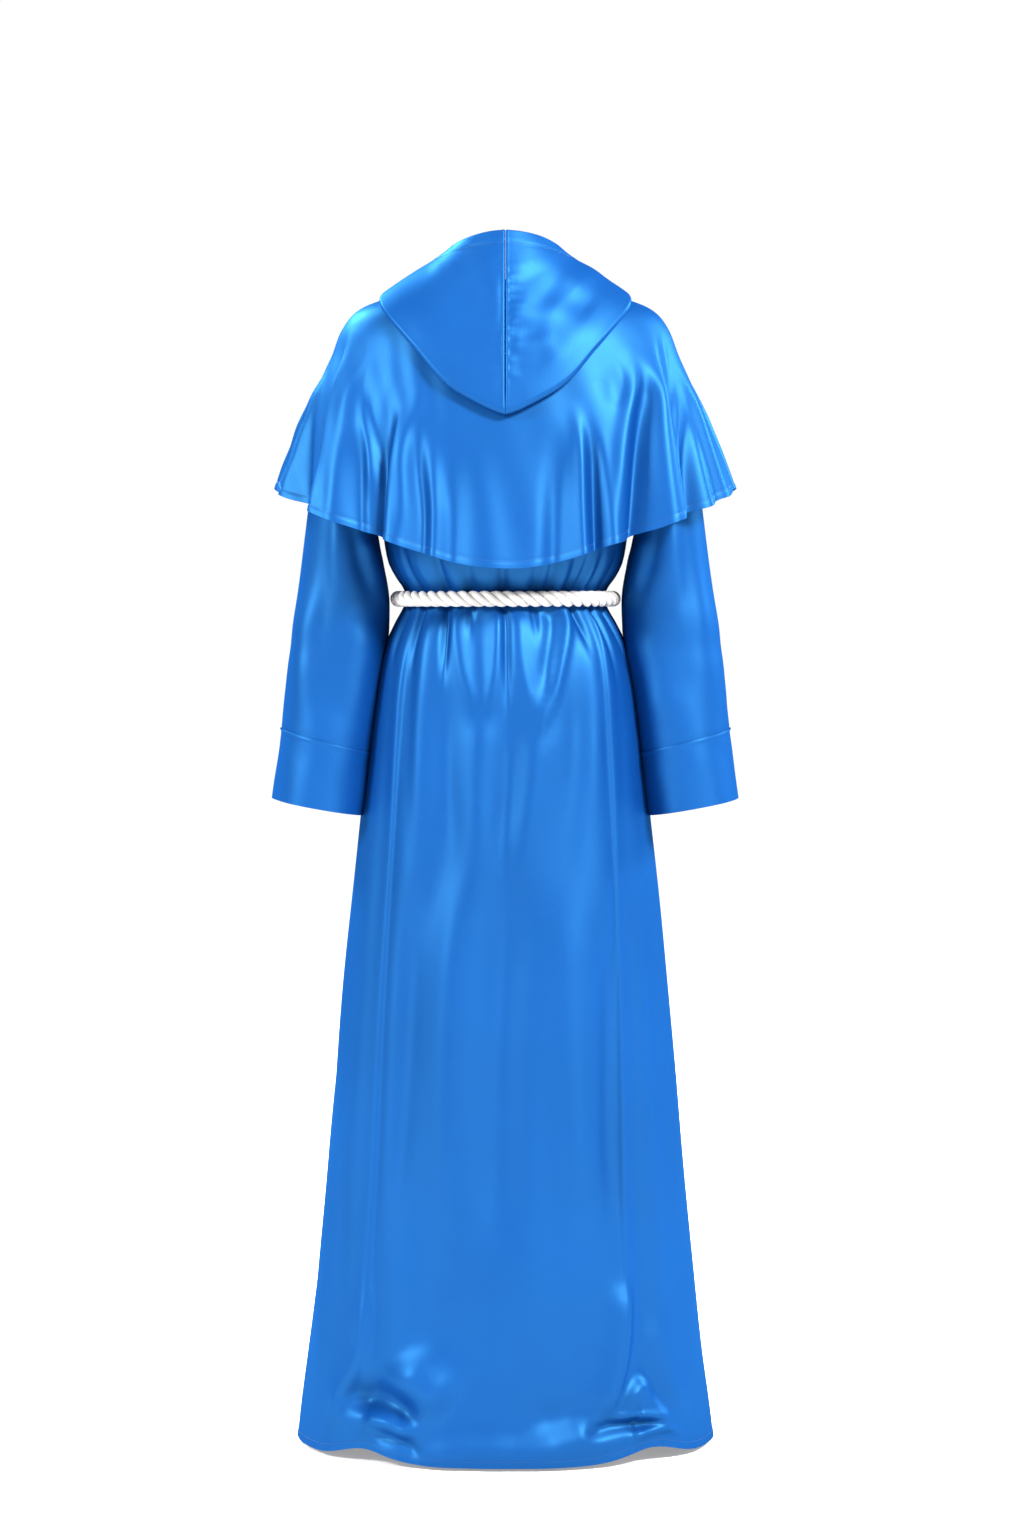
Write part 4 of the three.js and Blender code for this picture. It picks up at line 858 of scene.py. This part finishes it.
# Creases of the sleeves, by the angle round the sleeve and the middle height of its section. The angle
# is 0 at the outer end and negative behind.
SLEEVE_CREASES = {
    "left": creases("""
3 13.5 16.5 0 0.2 0.4: -66 1250, -68 1160, -72 1080, -66 1010, -60 960
-3.5 25.5 22 0 0.4 0.4: -88 1200, -92 1140, -98 1090, -104 1050
-6 22 22 0 0.3 0.4: -118 1190, -128 1150, -138 1110, -146 1080
4 16.5 16.5 0 0.3 0.4: -104 1200, -112 1150, -124 1105, -140 1060
3.5 36 36 0 0.4 0.4: -86 1080, -88 1020, -90 960, -84 900
-4 28.5 28.5 0 0.4 0.4: -50 1120, -46 1040, -56 970, -66 915
-4 28.5 28.5 0 0.3 0.3: -118 1060, -124 1000, -120 930
-5 25.5 25.5 0 0.3 0.4: 70 1240, 80 1160, 86 1080, 80 980
4 22 22 0 0.3 0.4: 100 1200, 110 1120, 116 1040, 108 950
-5 22 22 0 0.3 0.4: 134 1180, 140 1110, 146 1060
3.5 25.5 25.5 0 0.3 0.4: 40 1180, 46 1100, 50 1000, 48 920"""),
    "right": creases("""
3 13.5 16.5 0 0.2 0.4: -70 1250, -70 1160, -68 1080, -72 1000
-6 22 22 0 0.3 0.4: -120 1195, -130 1150, -140 1105, -148 1075
4 16.5 16.5 0 0.3 0.4: -106 1200, -114 1140, -126 1095, -142 1050
-3.5 25.5 25.5 0 0.4 0.4: -88 1190, -90 1130, -96 1070
3.5 36 36 0 0.4 0.4: -92 1070, -90 1000, -88 930
-4 28.5 28.5 0 0.4 0.4: -48 1130, -50 1050, -58 980, -62 920
-3.5 28.5 28.5 0 0.3 0.3: -122 1050, -122 990, -116 920
-5 25.5 25.5 0 0.3 0.4: 74 1230, 82 1150, 84 1060, 78 960
4 22 22 0 0.3 0.4: 104 1200, 112 1110, 114 1020, 106 940
-5 22 22 0 0.3 0.4: 136 1180, 142 1100, 148 1050
3.5 25.5 25.5 0 0.3 0.4: 38 1190, 44 1090, 52 990, 50 910"""),
}


def sleeve_ring(sections, at, angle):
    s = {key: between(column, at) for key, column in sections.items()}
    middle = np.stack([(s["inner_x"] + s["outer_x"]) / 2, 0 * at, (s["inner"] + s["outer"]) / 2], -1)
    half = np.stack([(s["outer_x"] - s["inner_x"]) / 2, 0 * at, (s["outer"] - s["inner"]) / 2], -1)

    def rounded(value):
        return np.sign(value) * np.abs(value) ** (2 / SQUARENESS)
    points = middle + half * rounded(np.cos(angle))[..., None]
    return rest_on_skirt(points + Y * (s["depth"] * rounded(np.sin(angle)))[..., None])


def rest_on_skirt(points):
    """Moves a sleeve's points that would lie in the skirt out to rest against it."""
    bearing = np.arctan2(points[..., 0], -points[..., 1])
    skirt = robe_outline(bearing, np.minimum(points[..., 2], BELT_HEIGHT))
    reach = np.hypot(skirt[..., 0], skirt[..., 1]) + SLEEVE_CLEARANCE
    grow = reach / np.hypot(points[..., 0], points[..., 1])
    grow = np.where(points[..., 2] < BELT_HEIGHT, np.maximum(grow, 1), 1)
    return points * np.stack([grow, grow, np.ones_like(grow)], -1)


def armhole_ring(angle):
    """The robe's own edge round the armhole, as a ring of the sleeve."""
    at = ROBE_ROWS[(ROBE_ROWS >= SHOULDER_ROW) & (ROBE_ROWS <= UNDERARM_ROW)]
    points = []
    for front in (False, True):
        edge = panel_edge(at, front)
        radius, height = section_form(ROBE_TABLE, math.pi - edge if front else edge, at)
        y = -radius * np.cos(math.pi - edge if front else edge)
        points.append((height, y))
    top, bottom = points[0][0][0], points[0][0][-1]
    height = bottom + (top - bottom) * (1 + np.cos(angle)) / 2
    y_back, y_front = (np.interp(-height, -h, y) for h, y in points)
    y = np.where(np.sin(angle) > 0, y_front, y_back)
    return np.stack([np.full(angle.shape, ARMHOLE_PLANE + SEAM_GAP / 2), y, height], -1)


# The cuff's seam allowance, which laps a little way into the sleeve.
CUFF_LAP = dict(inside=1.6, up=3)
CUFF_STITCH = 2.2 + math.hypot(*CUFF_LAP.values())
SEAM_WIDTH = 1.2
SLEEVE_AROUND = 132
SLEEVE_ANGLES = -np.linspace(0, 2 * math.pi, SLEEVE_AROUND, endpoint=False)
sleeves, cuffs = {}, {}
for name, side in (("left", -1), ("right", 1)):
    rows = np.concatenate([np.linspace(0, 10, 92)[:-1], [9.97, 9.99, 10]])[:, None]
    angles = np.broadcast_to(SLEEVE_ANGLES, (len(rows), SLEEVE_AROUND))
    at = np.broadcast_to(rows, angles.shape)
    points = sleeve_ring(SLEEVE_SECTIONS, at, angles)
    armhole = armhole_ring(SLEEVE_ANGLES)
    lead = np.linspace(0, 1, 7)[:-1, None, None]
    points = np.concatenate([armhole + (points[0] - armhole) * lead, points])
    sleeve = Cloth(points, wraps=True)
    middle = points.mean(axis=1, keepdims=True)
    level = np.broadcast_to(middle[..., 2], points.shape[:2])
    angle_grid = np.broadcast_to(SLEEVE_ANGLES, points.shape[:2])
    around = np.linalg.norm(points - middle, axis=-1)
    rise, _ = pressed(angle_grid, level, around, SLEEVE_CREASES[name])
    free = smooth(sleeve.from_edge("top"), 10, 60) * smooth(sleeve.from_edge("low"), 0, 50)
    ripple = ripples(31 + side, 0.9, (60, 150), (150, 400))(angle_grid * 80, level)
    sleeve.press((rise + ripple) * free)
    sleeve.points = rest_on_skirt(sleeve.points)
    distance = sleeve.from_edge("low")
    sleeve.press(0.35 * (1 - smooth(distance, 1.5, 4)) - 0.5 * np.exp(-((distance / SEAM_WIDTH) ** 2)))
    sleeves[name] = sleeve
    rows = np.concatenate([[0, 0.015, 0.03], np.linspace(0, 2, 30)[1:-1], [1.97, 1.99, 2]])[:, None]
    angles = np.broadcast_to(SLEEVE_ANGLES, (len(rows), SLEEVE_AROUND))
    cuff = Cloth(sleeve_ring(CUFF_SECTIONS, np.broadcast_to(rows, angles.shape), angles), wraps=True)
    level = np.broadcast_to(cuff.points.mean(axis=1, keepdims=True)[..., 2], cuff.points.shape[:2])
    low = smooth(cuff.from_edge("top"), 0, 30)
    cuff.press(ripples(41 + side, 0.8, (60, 150), (90, 200))(angles * 84, level) * low)
    cuff.points = rest_on_skirt(cuff.points)
    cuff.press(0.25 - 0.6 * np.exp(-((cuff.from_edge("top") / SEAM_WIDTH) ** 2)))
    lap = cuff.points[:1] - cuff.normals[:1] * CUFF_LAP["inside"] + Z * CUFF_LAP["up"]
    cuff = Cloth(np.concatenate([lap, cuff.points]), wraps=True)
    cuffs[name] = cuff
    if side < 0:
        for piece in (sleeve, cuff):
            piece.points = piece.points[:, ::-1] * [-1, 1, 1]
            piece.normals = piece.find_normals()

# The hood thrown back on the cape. fold is the height where the pouch turns up again, edge_out and
# edge are the distance and height of the mouth's edge.
HOOD_SECTIONS = table("bearing fold edge_out edge bulge thickness", [
    (0, 1311, 92, 1541, 13, 11),
    (15, 1327, 91, 1539, 13, 11),
    (30, 1352, 89, 1534, 12, 11),
    (45, 1396, 87, 1527, 9, 10),
    (60, 1434, 84, 1520, 5, 8),
    (75, 1457, 82, 1515, 3, 6.5),
    (90, 1463, 80, 1511, 2, 6.5),
    (110, 1454, 80, 1503, 4, 8),
    (130, 1431, 82, 1490, 7, 9),
    (150, 1413, 84, 1475, 7, 9),
    (168, 1408, 84, 1461, 5, 9),
    (180, 1410, 82, 1455, 4, 9),
])
HOOD_CLEARANCE = 3.8
HOOD_FOLD_END = 1.12
# Creases of the hood's outer face, by their place in mm across and their height.
HOOD_CREASES = {
    "left": creases("""
1.5 37 37 0 0.4 0.4: -110 1462, -85 1430, -60 1395
-2 37 37 0 0.4 0.4: -70 1480, -50 1440, -34 1390, -26 1350
1.5 18.5 22 0 0.3 0.4: -8 1490, -14 1440, -12 1390
1 16.5 16.5 0 0.4 0.4: -100 1490, -75 1492, -50 1500"""),
    "right": creases("""
-2.5 24 24 0 0.35 0.35: 24 1500, 34 1480, 49 1464, 70 1450
1.5 15 15 0 0.2 0.4: 5 1455, 14 1438, 26 1430, 49 1435, 84 1452
-1.2 13 13 0 0.25 0.4: 6 1424, 18 1416, 34 1411, 58 1410
1.2 14 14 0 0.2 0.4: 5 1395, 20 1394, 40 1398, 66 1412
-1.2 14 14 0 0.25 0.4: 5 1366, 20 1370, 38 1378, 60 1393
2 26 26 0 0.3 0.4: 120 1450, 84 1405, 52 1368, 30 1342
2 16.5 16.5 0 0.4 0.4: 62 1492, 86 1478, 110 1462
-1.5 18.5 18.5 0 0.4 0.4: 80 1462, 98 1446, 112 1436"""),
}
PUCKERS = dict(first=1340, last=1505, pitch=14, reach=11, depth=0.6)


def cape_row_at(bearing, height):
    low, high = np.zeros(bearing.shape), np.full(bearing.shape, float(CAPE_LAST))
    for _ in range(30):
        middle = (low + high) / 2
        past = section_form(CAPE_SECTIONS, bearing, middle)[1] <= height
        high, low = np.where(past, middle, high), np.where(past, low, middle)
    return high


def cape_form(bearing, at):
    radius, height = section_form(CAPE_SECTIONS, bearing, at)
    return polar(radius - cape_fold_depth(bearing, height, radius), bearing, height)


def cape_out(bearing, at):
    step = 1e-3
    around = cape_form(bearing + step, at) - cape_form(bearing - step, at)
    down = cape_form(bearing, at + step) - cape_form(bearing, np.maximum(at - step, 0))
    return unit(np.cross(down, around))


def quadratic(a, b, c, t):
    return a * (1 - t) ** 2 + b * (2 * t * (1 - t)) + c * t**2


def hood_points(bearing, along):
    """From the neck seam down the cape, round the pouch's bottom and up the outside."""
    degrees = np.degrees(np.abs(turn(bearing, 0)))
    place = np.interp(degrees, HOOD_SECTIONS["bearing"], np.arange(len(HOOD_SECTIONS["bearing"])))
    fold, edge_out, edge, bulge, thickness = (
        between(HOOD_SECTIONS[key], place)
        for key in ("fold", "edge_out", "edge", "bulge", "thickness"))
    fold_row = cape_row_at(bearing, fold)
    clearance = SEAM_GAP + (HOOD_CLEARANCE - SEAM_GAP) * smooth(along, 0, 0.15)
    row = fold_row * np.minimum(along, 1)
    resting = cape_form(bearing, row) + cape_out(bearing, row) * clearance[..., None]
    foot_out = cape_out(bearing, fold_row)
    foot = cape_form(bearing, fold_row) + foot_out * HOOD_CLEARANCE
    corner = foot + foot_out * thickness[..., None]
    down = unit(cape_form(bearing, fold_row + 0.2) - cape_form(bearing, fold_row))
    turn_control = (foot + corner) / 2 + down * thickness[..., None]
    end = polar(edge_out, bearing, edge)
    control = corner + (end - corner) * 0.45 + polar(bulge, bearing, bulge)
    round_share = np.clip((along - 1) / (HOOD_FOLD_END - 1), 0, 1)[..., None]
    rise_share = np.clip((along - HOOD_FOLD_END) / (2 - HOOD_FOLD_END), 0, 1)[..., None]
    turning = quadratic(foot, turn_control, corner, round_share)
    rising = quadratic(corner, control, end, rise_share)
    outside = np.where((along < HOOD_FOLD_END)[..., None], turning, rising)
    return np.where((along <= 1)[..., None], resting, outside)


HOOD_ALONG = np.concatenate([
    np.linspace(0, 1, 26)[:-1], np.linspace(1, HOOD_FOLD_END, 11)[:-1],
    np.linspace(HOOD_FOLD_END, 2, 74)[:-1], [1.996, 2]])[::-1]
HOOD_HEM = 17
hoods = {}
for name, side in (("left", -1), ("right", 1)):
    share = np.linspace(0, 1, 128)
    bearings = side * math.pi * (0.25 * share**2 + 0.75 * share) ** 1.15
    if side < 0:
        bearings = bearings[::-1]
    bearing, along = np.meshgrid(bearings, HOOD_ALONG)
    points = hood_points(bearing, along)
    x, height = points[..., 0], points[..., 2]
    outer = smooth(along, 1.02, 1.25) * (np.abs(bearing) < math.pi / 2)
    rise, _ = pressed(x, height, x, HOOD_CREASES[name], angular=False)
    ripple = ripples(51 + side, 0.7, (50, 120), (60, 160))(x, height)
    off_seam = np.abs(x)
    rise = rise * smooth(off_seam, 1, 12) + ripple * smooth(off_seam, 2, 30)
    seam_groove = -1.3 * np.exp(-((off_seam / 1.1) ** 2))
    piping = 0.9 * np.exp(-(((off_seam - 2.6) / 1.1) ** 2)) * (1.0 if side < 0 else 0.45)
    waves = np.sin(2 * math.pi * (height + 6 * np.sin(height / 23)) / PUCKERS["pitch"])
    fade = np.exp(-(((off_seam - 5) / PUCKERS["reach"]) ** 2)) * smooth(off_seam, 2.5, 5)
    band = (smooth(height, PUCKERS["first"], PUCKERS["first"] + 20)
            * (1 - smooth(height, PUCKERS["last"] - 20, PUCKERS["last"])))
    pucker = PUCKERS["depth"] * waves * fade * band * (1.0 if side > 0 else 0.45)
    cloth = Cloth(points)
    cloth.press((rise + seam_groove + piping + pucker) * outer)
    distance = cloth.from_edge("top")
    groove = np.exp(-(((distance - HOOD_HEM) / SEAM_WIDTH) ** 2))
    cloth.press(0.45 * (1 - smooth(distance, HOOD_HEM - 0.5, HOOD_HEM + 2)) - 0.8 * groove)
    cloth.points[..., 0] = side * np.maximum(side * cloth.points[..., 0], SEAM_GAP / 2)
    cloth.normals = cloth.find_normals()
    hoods[name] = cloth


# Finishes.
def node_material(name):
    material = bpy.data.materials.new(name)
    material.use_nodes = True
    nodes, links = material.node_tree.nodes, material.node_tree.links
    shader = next(n for n in nodes if n.type == "BSDF_PRINCIPLED")
    return material, nodes, links, shader


def noise(nodes, links, vector, scale, detail=3.0):
    node = nodes.new("ShaderNodeTexNoise")
    node.inputs["Scale"].default_value = scale
    node.inputs["Detail"].default_value = detail
    links.new(vector, node.inputs["Vector"])
    return node.outputs["Fac"]


def wave(nodes, links, vector, distortion, detail=2.0):
    node = nodes.new("ShaderNodeTexWave")
    node.inputs["Scale"].default_value = 1
    node.inputs["Distortion"].default_value = distortion
    node.inputs["Detail"].default_value = detail
    links.new(vector, node.inputs["Vector"])
    return node.outputs["Fac"]


def stretched(nodes, links, source, scale, turned=0.0):
    node = nodes.new("ShaderNodeMapping")
    node.inputs["Scale"].default_value = scale
    node.inputs["Rotation"].default_value = (0, 0, math.radians(turned))
    links.new(source, node.inputs["Vector"])
    return node.outputs["Vector"]


def weighted(nodes, links, source, weight, added):
    node = nodes.new("ShaderNodeMath")
    node.operation = "MULTIPLY_ADD"
    links.new(source, node.inputs[0])
    node.inputs[1].default_value = weight
    links.new(added, node.inputs[2])
    return node.outputs["Value"]


def ramp(nodes, links, factor, stops):
    node = nodes.new("ShaderNodeValToRGB")
    while len(node.color_ramp.elements) < len(stops):
        node.color_ramp.elements.new(0.5)
    for element, (place, colour) in zip(node.color_ramp.elements, stops):
        element.position = place
        element.color = (*colour, 1)
    links.new(factor, node.inputs["Fac"])
    return node.outputs["Color"]


def relief(nodes, links, height, strength, distance, shaders):
    bump = nodes.new("ShaderNodeBump")
    bump.inputs["Strength"].default_value = strength
    bump.inputs["Distance"].default_value = distance
    links.new(height, bump.inputs["Height"])
    for shader in shaders:
        links.new(bump.outputs["Normal"], shader.inputs["Normal"])


SATIN_STOPS = [(0.45, (0.0005, 0.0195, 0.106)), (0.95, (0.0008, 0.0245, 0.128))]
SATIN_SHEEN = dict(colour=(0.10, 0.52, 1, 1), share=0.072, smoothest=0.44, roughest=0.54)
THREAD_STOPS = [(0.3, (0.002, 0.035, 0.15)), (0.7, (0.004, 0.055, 0.2))]
# The rope's colours run from the yarn grooves to the crests: the darkening in the grooves is painted
# shade, the rest is uneven tone.
ROPE_TONE_AND_GROOVE_SHADE_STOPS = [(0.25, (0.31, 0.285, 0.275)), (0.6, (0.43, 0.41, 0.395)), (1.0, (0.49, 0.475, 0.46))]


def satin(name):
    """Blue polyester satin: a smooth face with a soft, tinted sheen, a fine twill and faint slubs."""
    material, nodes, links, shader = node_material(name)
    place = nodes.new("ShaderNodeTexCoord")
    uv = place.outputs["UV"]
    cloudy = noise(nodes, links, place.outputs["Object"], 5, 2)
    slub = noise(nodes, links, stretched(nodes, links, uv, (900, 60, 1)), 1, 2)
    shade = ramp(nodes, links, weighted(nodes, links, slub, 0.45, cloudy), SATIN_STOPS)
    links.new(shade, shader.inputs["Base Color"])
    rough = nodes.new("ShaderNodeMapRange")
    rough.inputs["To Min"].default_value = SATIN_SHEEN["smoothest"]
    rough.inputs["To Max"].default_value = SATIN_SHEEN["roughest"]
    links.new(slub, rough.inputs["Value"])
    gloss = nodes.new("ShaderNodeBsdfGlossy")
    gloss.inputs["Color"].default_value = SATIN_SHEEN["colour"]
    links.new(rough.outputs["Result"], gloss.inputs["Roughness"])
    shader.inputs["Roughness"].default_value = 0.8
    shader.inputs["Specular IOR Level"].default_value = 0
    shader.inputs["IOR"].default_value = 1
    twill = wave(nodes, links, stretched(nodes, links, uv, (260, 260, 1), 28), 0.6)
    grain = noise(nodes, links, stretched(nodes, links, uv, (1500, 500, 1)), 1, 2)
    weave = weighted(nodes, links, grain, 1.2, twill)
    relief(nodes, links, weave, 0.12, 0.00025, (shader, gloss))
    both = nodes.new("ShaderNodeMixShader")
    both.inputs["Fac"].default_value = SATIN_SHEEN["share"]
    links.new(shader.outputs["BSDF"], both.inputs[1])
    links.new(gloss.outputs["BSDF"], both.inputs[2])
    output = next(n for n in nodes if n.type == "OUTPUT_MATERIAL")
    links.new(both.outputs["Shader"], output.inputs["Surface"])
    return material


def thread(name):
    material, nodes, links, shader = node_material(name)
    place = nodes.new("ShaderNodeTexCoord")
    twist = noise(nodes, links, place.outputs["Object"], 2500, 1)
    links.new(ramp(nodes, links, twist, THREAD_STOPS), shader.inputs["Base Color"])
    shader.inputs["Roughness"].default_value = 0.5
    return material


def cotton(name):
    """Off-white twisted cotton: fine slanting yarns on each strand, a little fuzz, an uneven tone, and
    painted shade that darkens the grooves between the yarns.
    """
    material, nodes, links, shader = node_material(name)
    place = nodes.new("ShaderNodeTexCoord")
    uv = place.outputs["UV"]
    yarns = wave(nodes, links, stretched(nodes, links, uv, (230, 230, 1), -32), 1.2)
    fibre = noise(nodes, links, stretched(nodes, links, uv, (2600, 700, 1), -32), 1)
    cloudy = noise(nodes, links, place.outputs["Object"], 60, 2)
    # Low yarn waves, the grooves between yarns, get a darker colour. This is painted shade, mixed with
    # uneven tone from the cloudy noise.
    shade = ramp(nodes, links, weighted(nodes, links, yarns, 0.35, cloudy), ROPE_TONE_AND_GROOVE_SHADE_STOPS)
    links.new(shade, shader.inputs["Base Color"])
    shader.inputs["Roughness"].default_value = 0.85
    shader.inputs["Sheen Weight"].default_value = 0.25
    shader.inputs["Sheen Roughness"].default_value = 0.6
    relief(nodes, links, weighted(nodes, links, fibre, 0.5, yarns), 0.6, 0.0007, (shader,))
    return material


SATIN, THREAD, COTTON = satin("satin_blue"), thread("thread_blue"), cotton("cotton_rope")


def finish(piece, material):
    piece.data.materials.append(material)
    return piece


# The flat size of each piece of cloth in metres, and its area in square metres.
FLAT = {
    "robe_back": ((0.77, 1.51), 0.82),
    "robe_front": ((0.74, 1.47), 0.79),
    "cape_back": ((0.92, 0.39), 0.225),
    "cape_front": ((0.84, 0.36), 0.20),
    "sleeve": ((0.61, 0.57), 0.19),
    "cuff": ((0.47, 0.085), 0.038),
    "hood": ((0.45, 0.36), 0.085),
}


def sew(cloth, node, size, stitched):
    """Builds a piece of cloth with its stitches, and hides the solid it stands for."""
    name, (flat, area) = f"satin_{node}", FLAT[size]
    piece = finish(cloth.build(name), SATIN)
    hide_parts(node)
    if stitched:
        finish(stitches(f"{name}_stitches", *cloth.line(*stitched)), THREAD)
    return piece


made = {}
for kind, cloths in (("robe", robe), ("cape", cape)):
    for name in ("back", "front"):
        node, below = f"{kind}_{name}", "rope_belt" if kind == "robe" else made[f"robe_{name}"]
        stitched = (cloths[name].from_edge("low"), HEM_TURN)
        made[node] = sew(cloths[name], node, node, stitched)
for name in ("left", "right"):
    sleeve = sew(sleeves[name], f"sleeve_{name}", "sleeve", None)
    sew(cuffs[name], f"cuff_{name}", "cuff", (cuffs[name].from_edge("top"), CUFF_STITCH))
    stitched = (hoods[name].from_edge("top"), HOOD_HEM, 1)
    sew(hoods[name], f"hood_{name}", "hood", stitched)

for piece, node in (
        (belt, "belt_loop"), (knot, "belt_knot"),
        (tails["left"], "belt_tail_left"), (tails["right"], "belt_tail_right"),
        (tips["left"], "belt_tip_left"), (tips["right"], "belt_tip_right")):
    finish(piece, COTTON)
    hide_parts(node)

# A plain pale floor and soft studio light.
FLOOR = dict(half=60, down=-1.46, grey=0.7, glow=0.32)
floor_mesh = bpy.data.meshes.new("floor")
floor_corners = [(x * FLOOR["half"], y * FLOOR["half"], FLOOR["down"])
                 for x, y in ((-1, -1), (1, -1), (1, 1), (-1, 1))]
floor_mesh.from_pydata(floor_corners, [], [(0, 1, 2, 3)])
floor = bpy.data.objects.new("floor", floor_mesh)
bpy.context.scene.collection.objects.link(floor)
floor_material, _, _, floor_shader = node_material("floor")
floor_shader.inputs["Base Color"].default_value = (*[FLOOR["grey"]] * 3, 1)
floor_shader.inputs["Roughness"].default_value = 0.9
floor_shader.inputs["Specular IOR Level"].default_value = 0.1
floor_shader.inputs["Emission Color"].default_value = (1, 1, 1, 1)
floor_shader.inputs["Emission Strength"].default_value = FLOOR["glow"]
floor_mesh.materials.append(floor_material)

world = bpy.data.worlds.new("studio")
bpy.context.scene.world = world
world.use_nodes = True
background = world.node_tree.nodes["Background"]
background.inputs["Color"].default_value = (1, 1, 1, 1)
background.inputs["Strength"].default_value = 1.0


def area_light(name, place, target, size, power):
    data = bpy.data.lights.new(name, "AREA")
    data.shape = "DISK"
    data.size = size
    data.energy = power
    light = bpy.data.objects.new(name, data)
    bpy.context.scene.collection.objects.link(light)
    light.location = place
    x, y, z = (b - a for a, b in zip(place, target))
    light.rotation_euler = (math.atan2(math.hypot(x, y), -z), 0, math.atan2(y, x) - math.pi / 2)


# The lights behind the costume, and the same again in front of it.
for prefix, side in (("", 1), ("far_", -1)):
    area_light(prefix + "key", (2.9 * side, -3.3 * side, 2.7), (0, 0, -0.55), 1.3, 830)
    area_light(prefix + "fill", (-3.9 * side, -2.2 * side, 1.6), (0, 0, -0.6), 1.1, 370)

bpy.context.scene.view_settings.view_transform = "Standard"
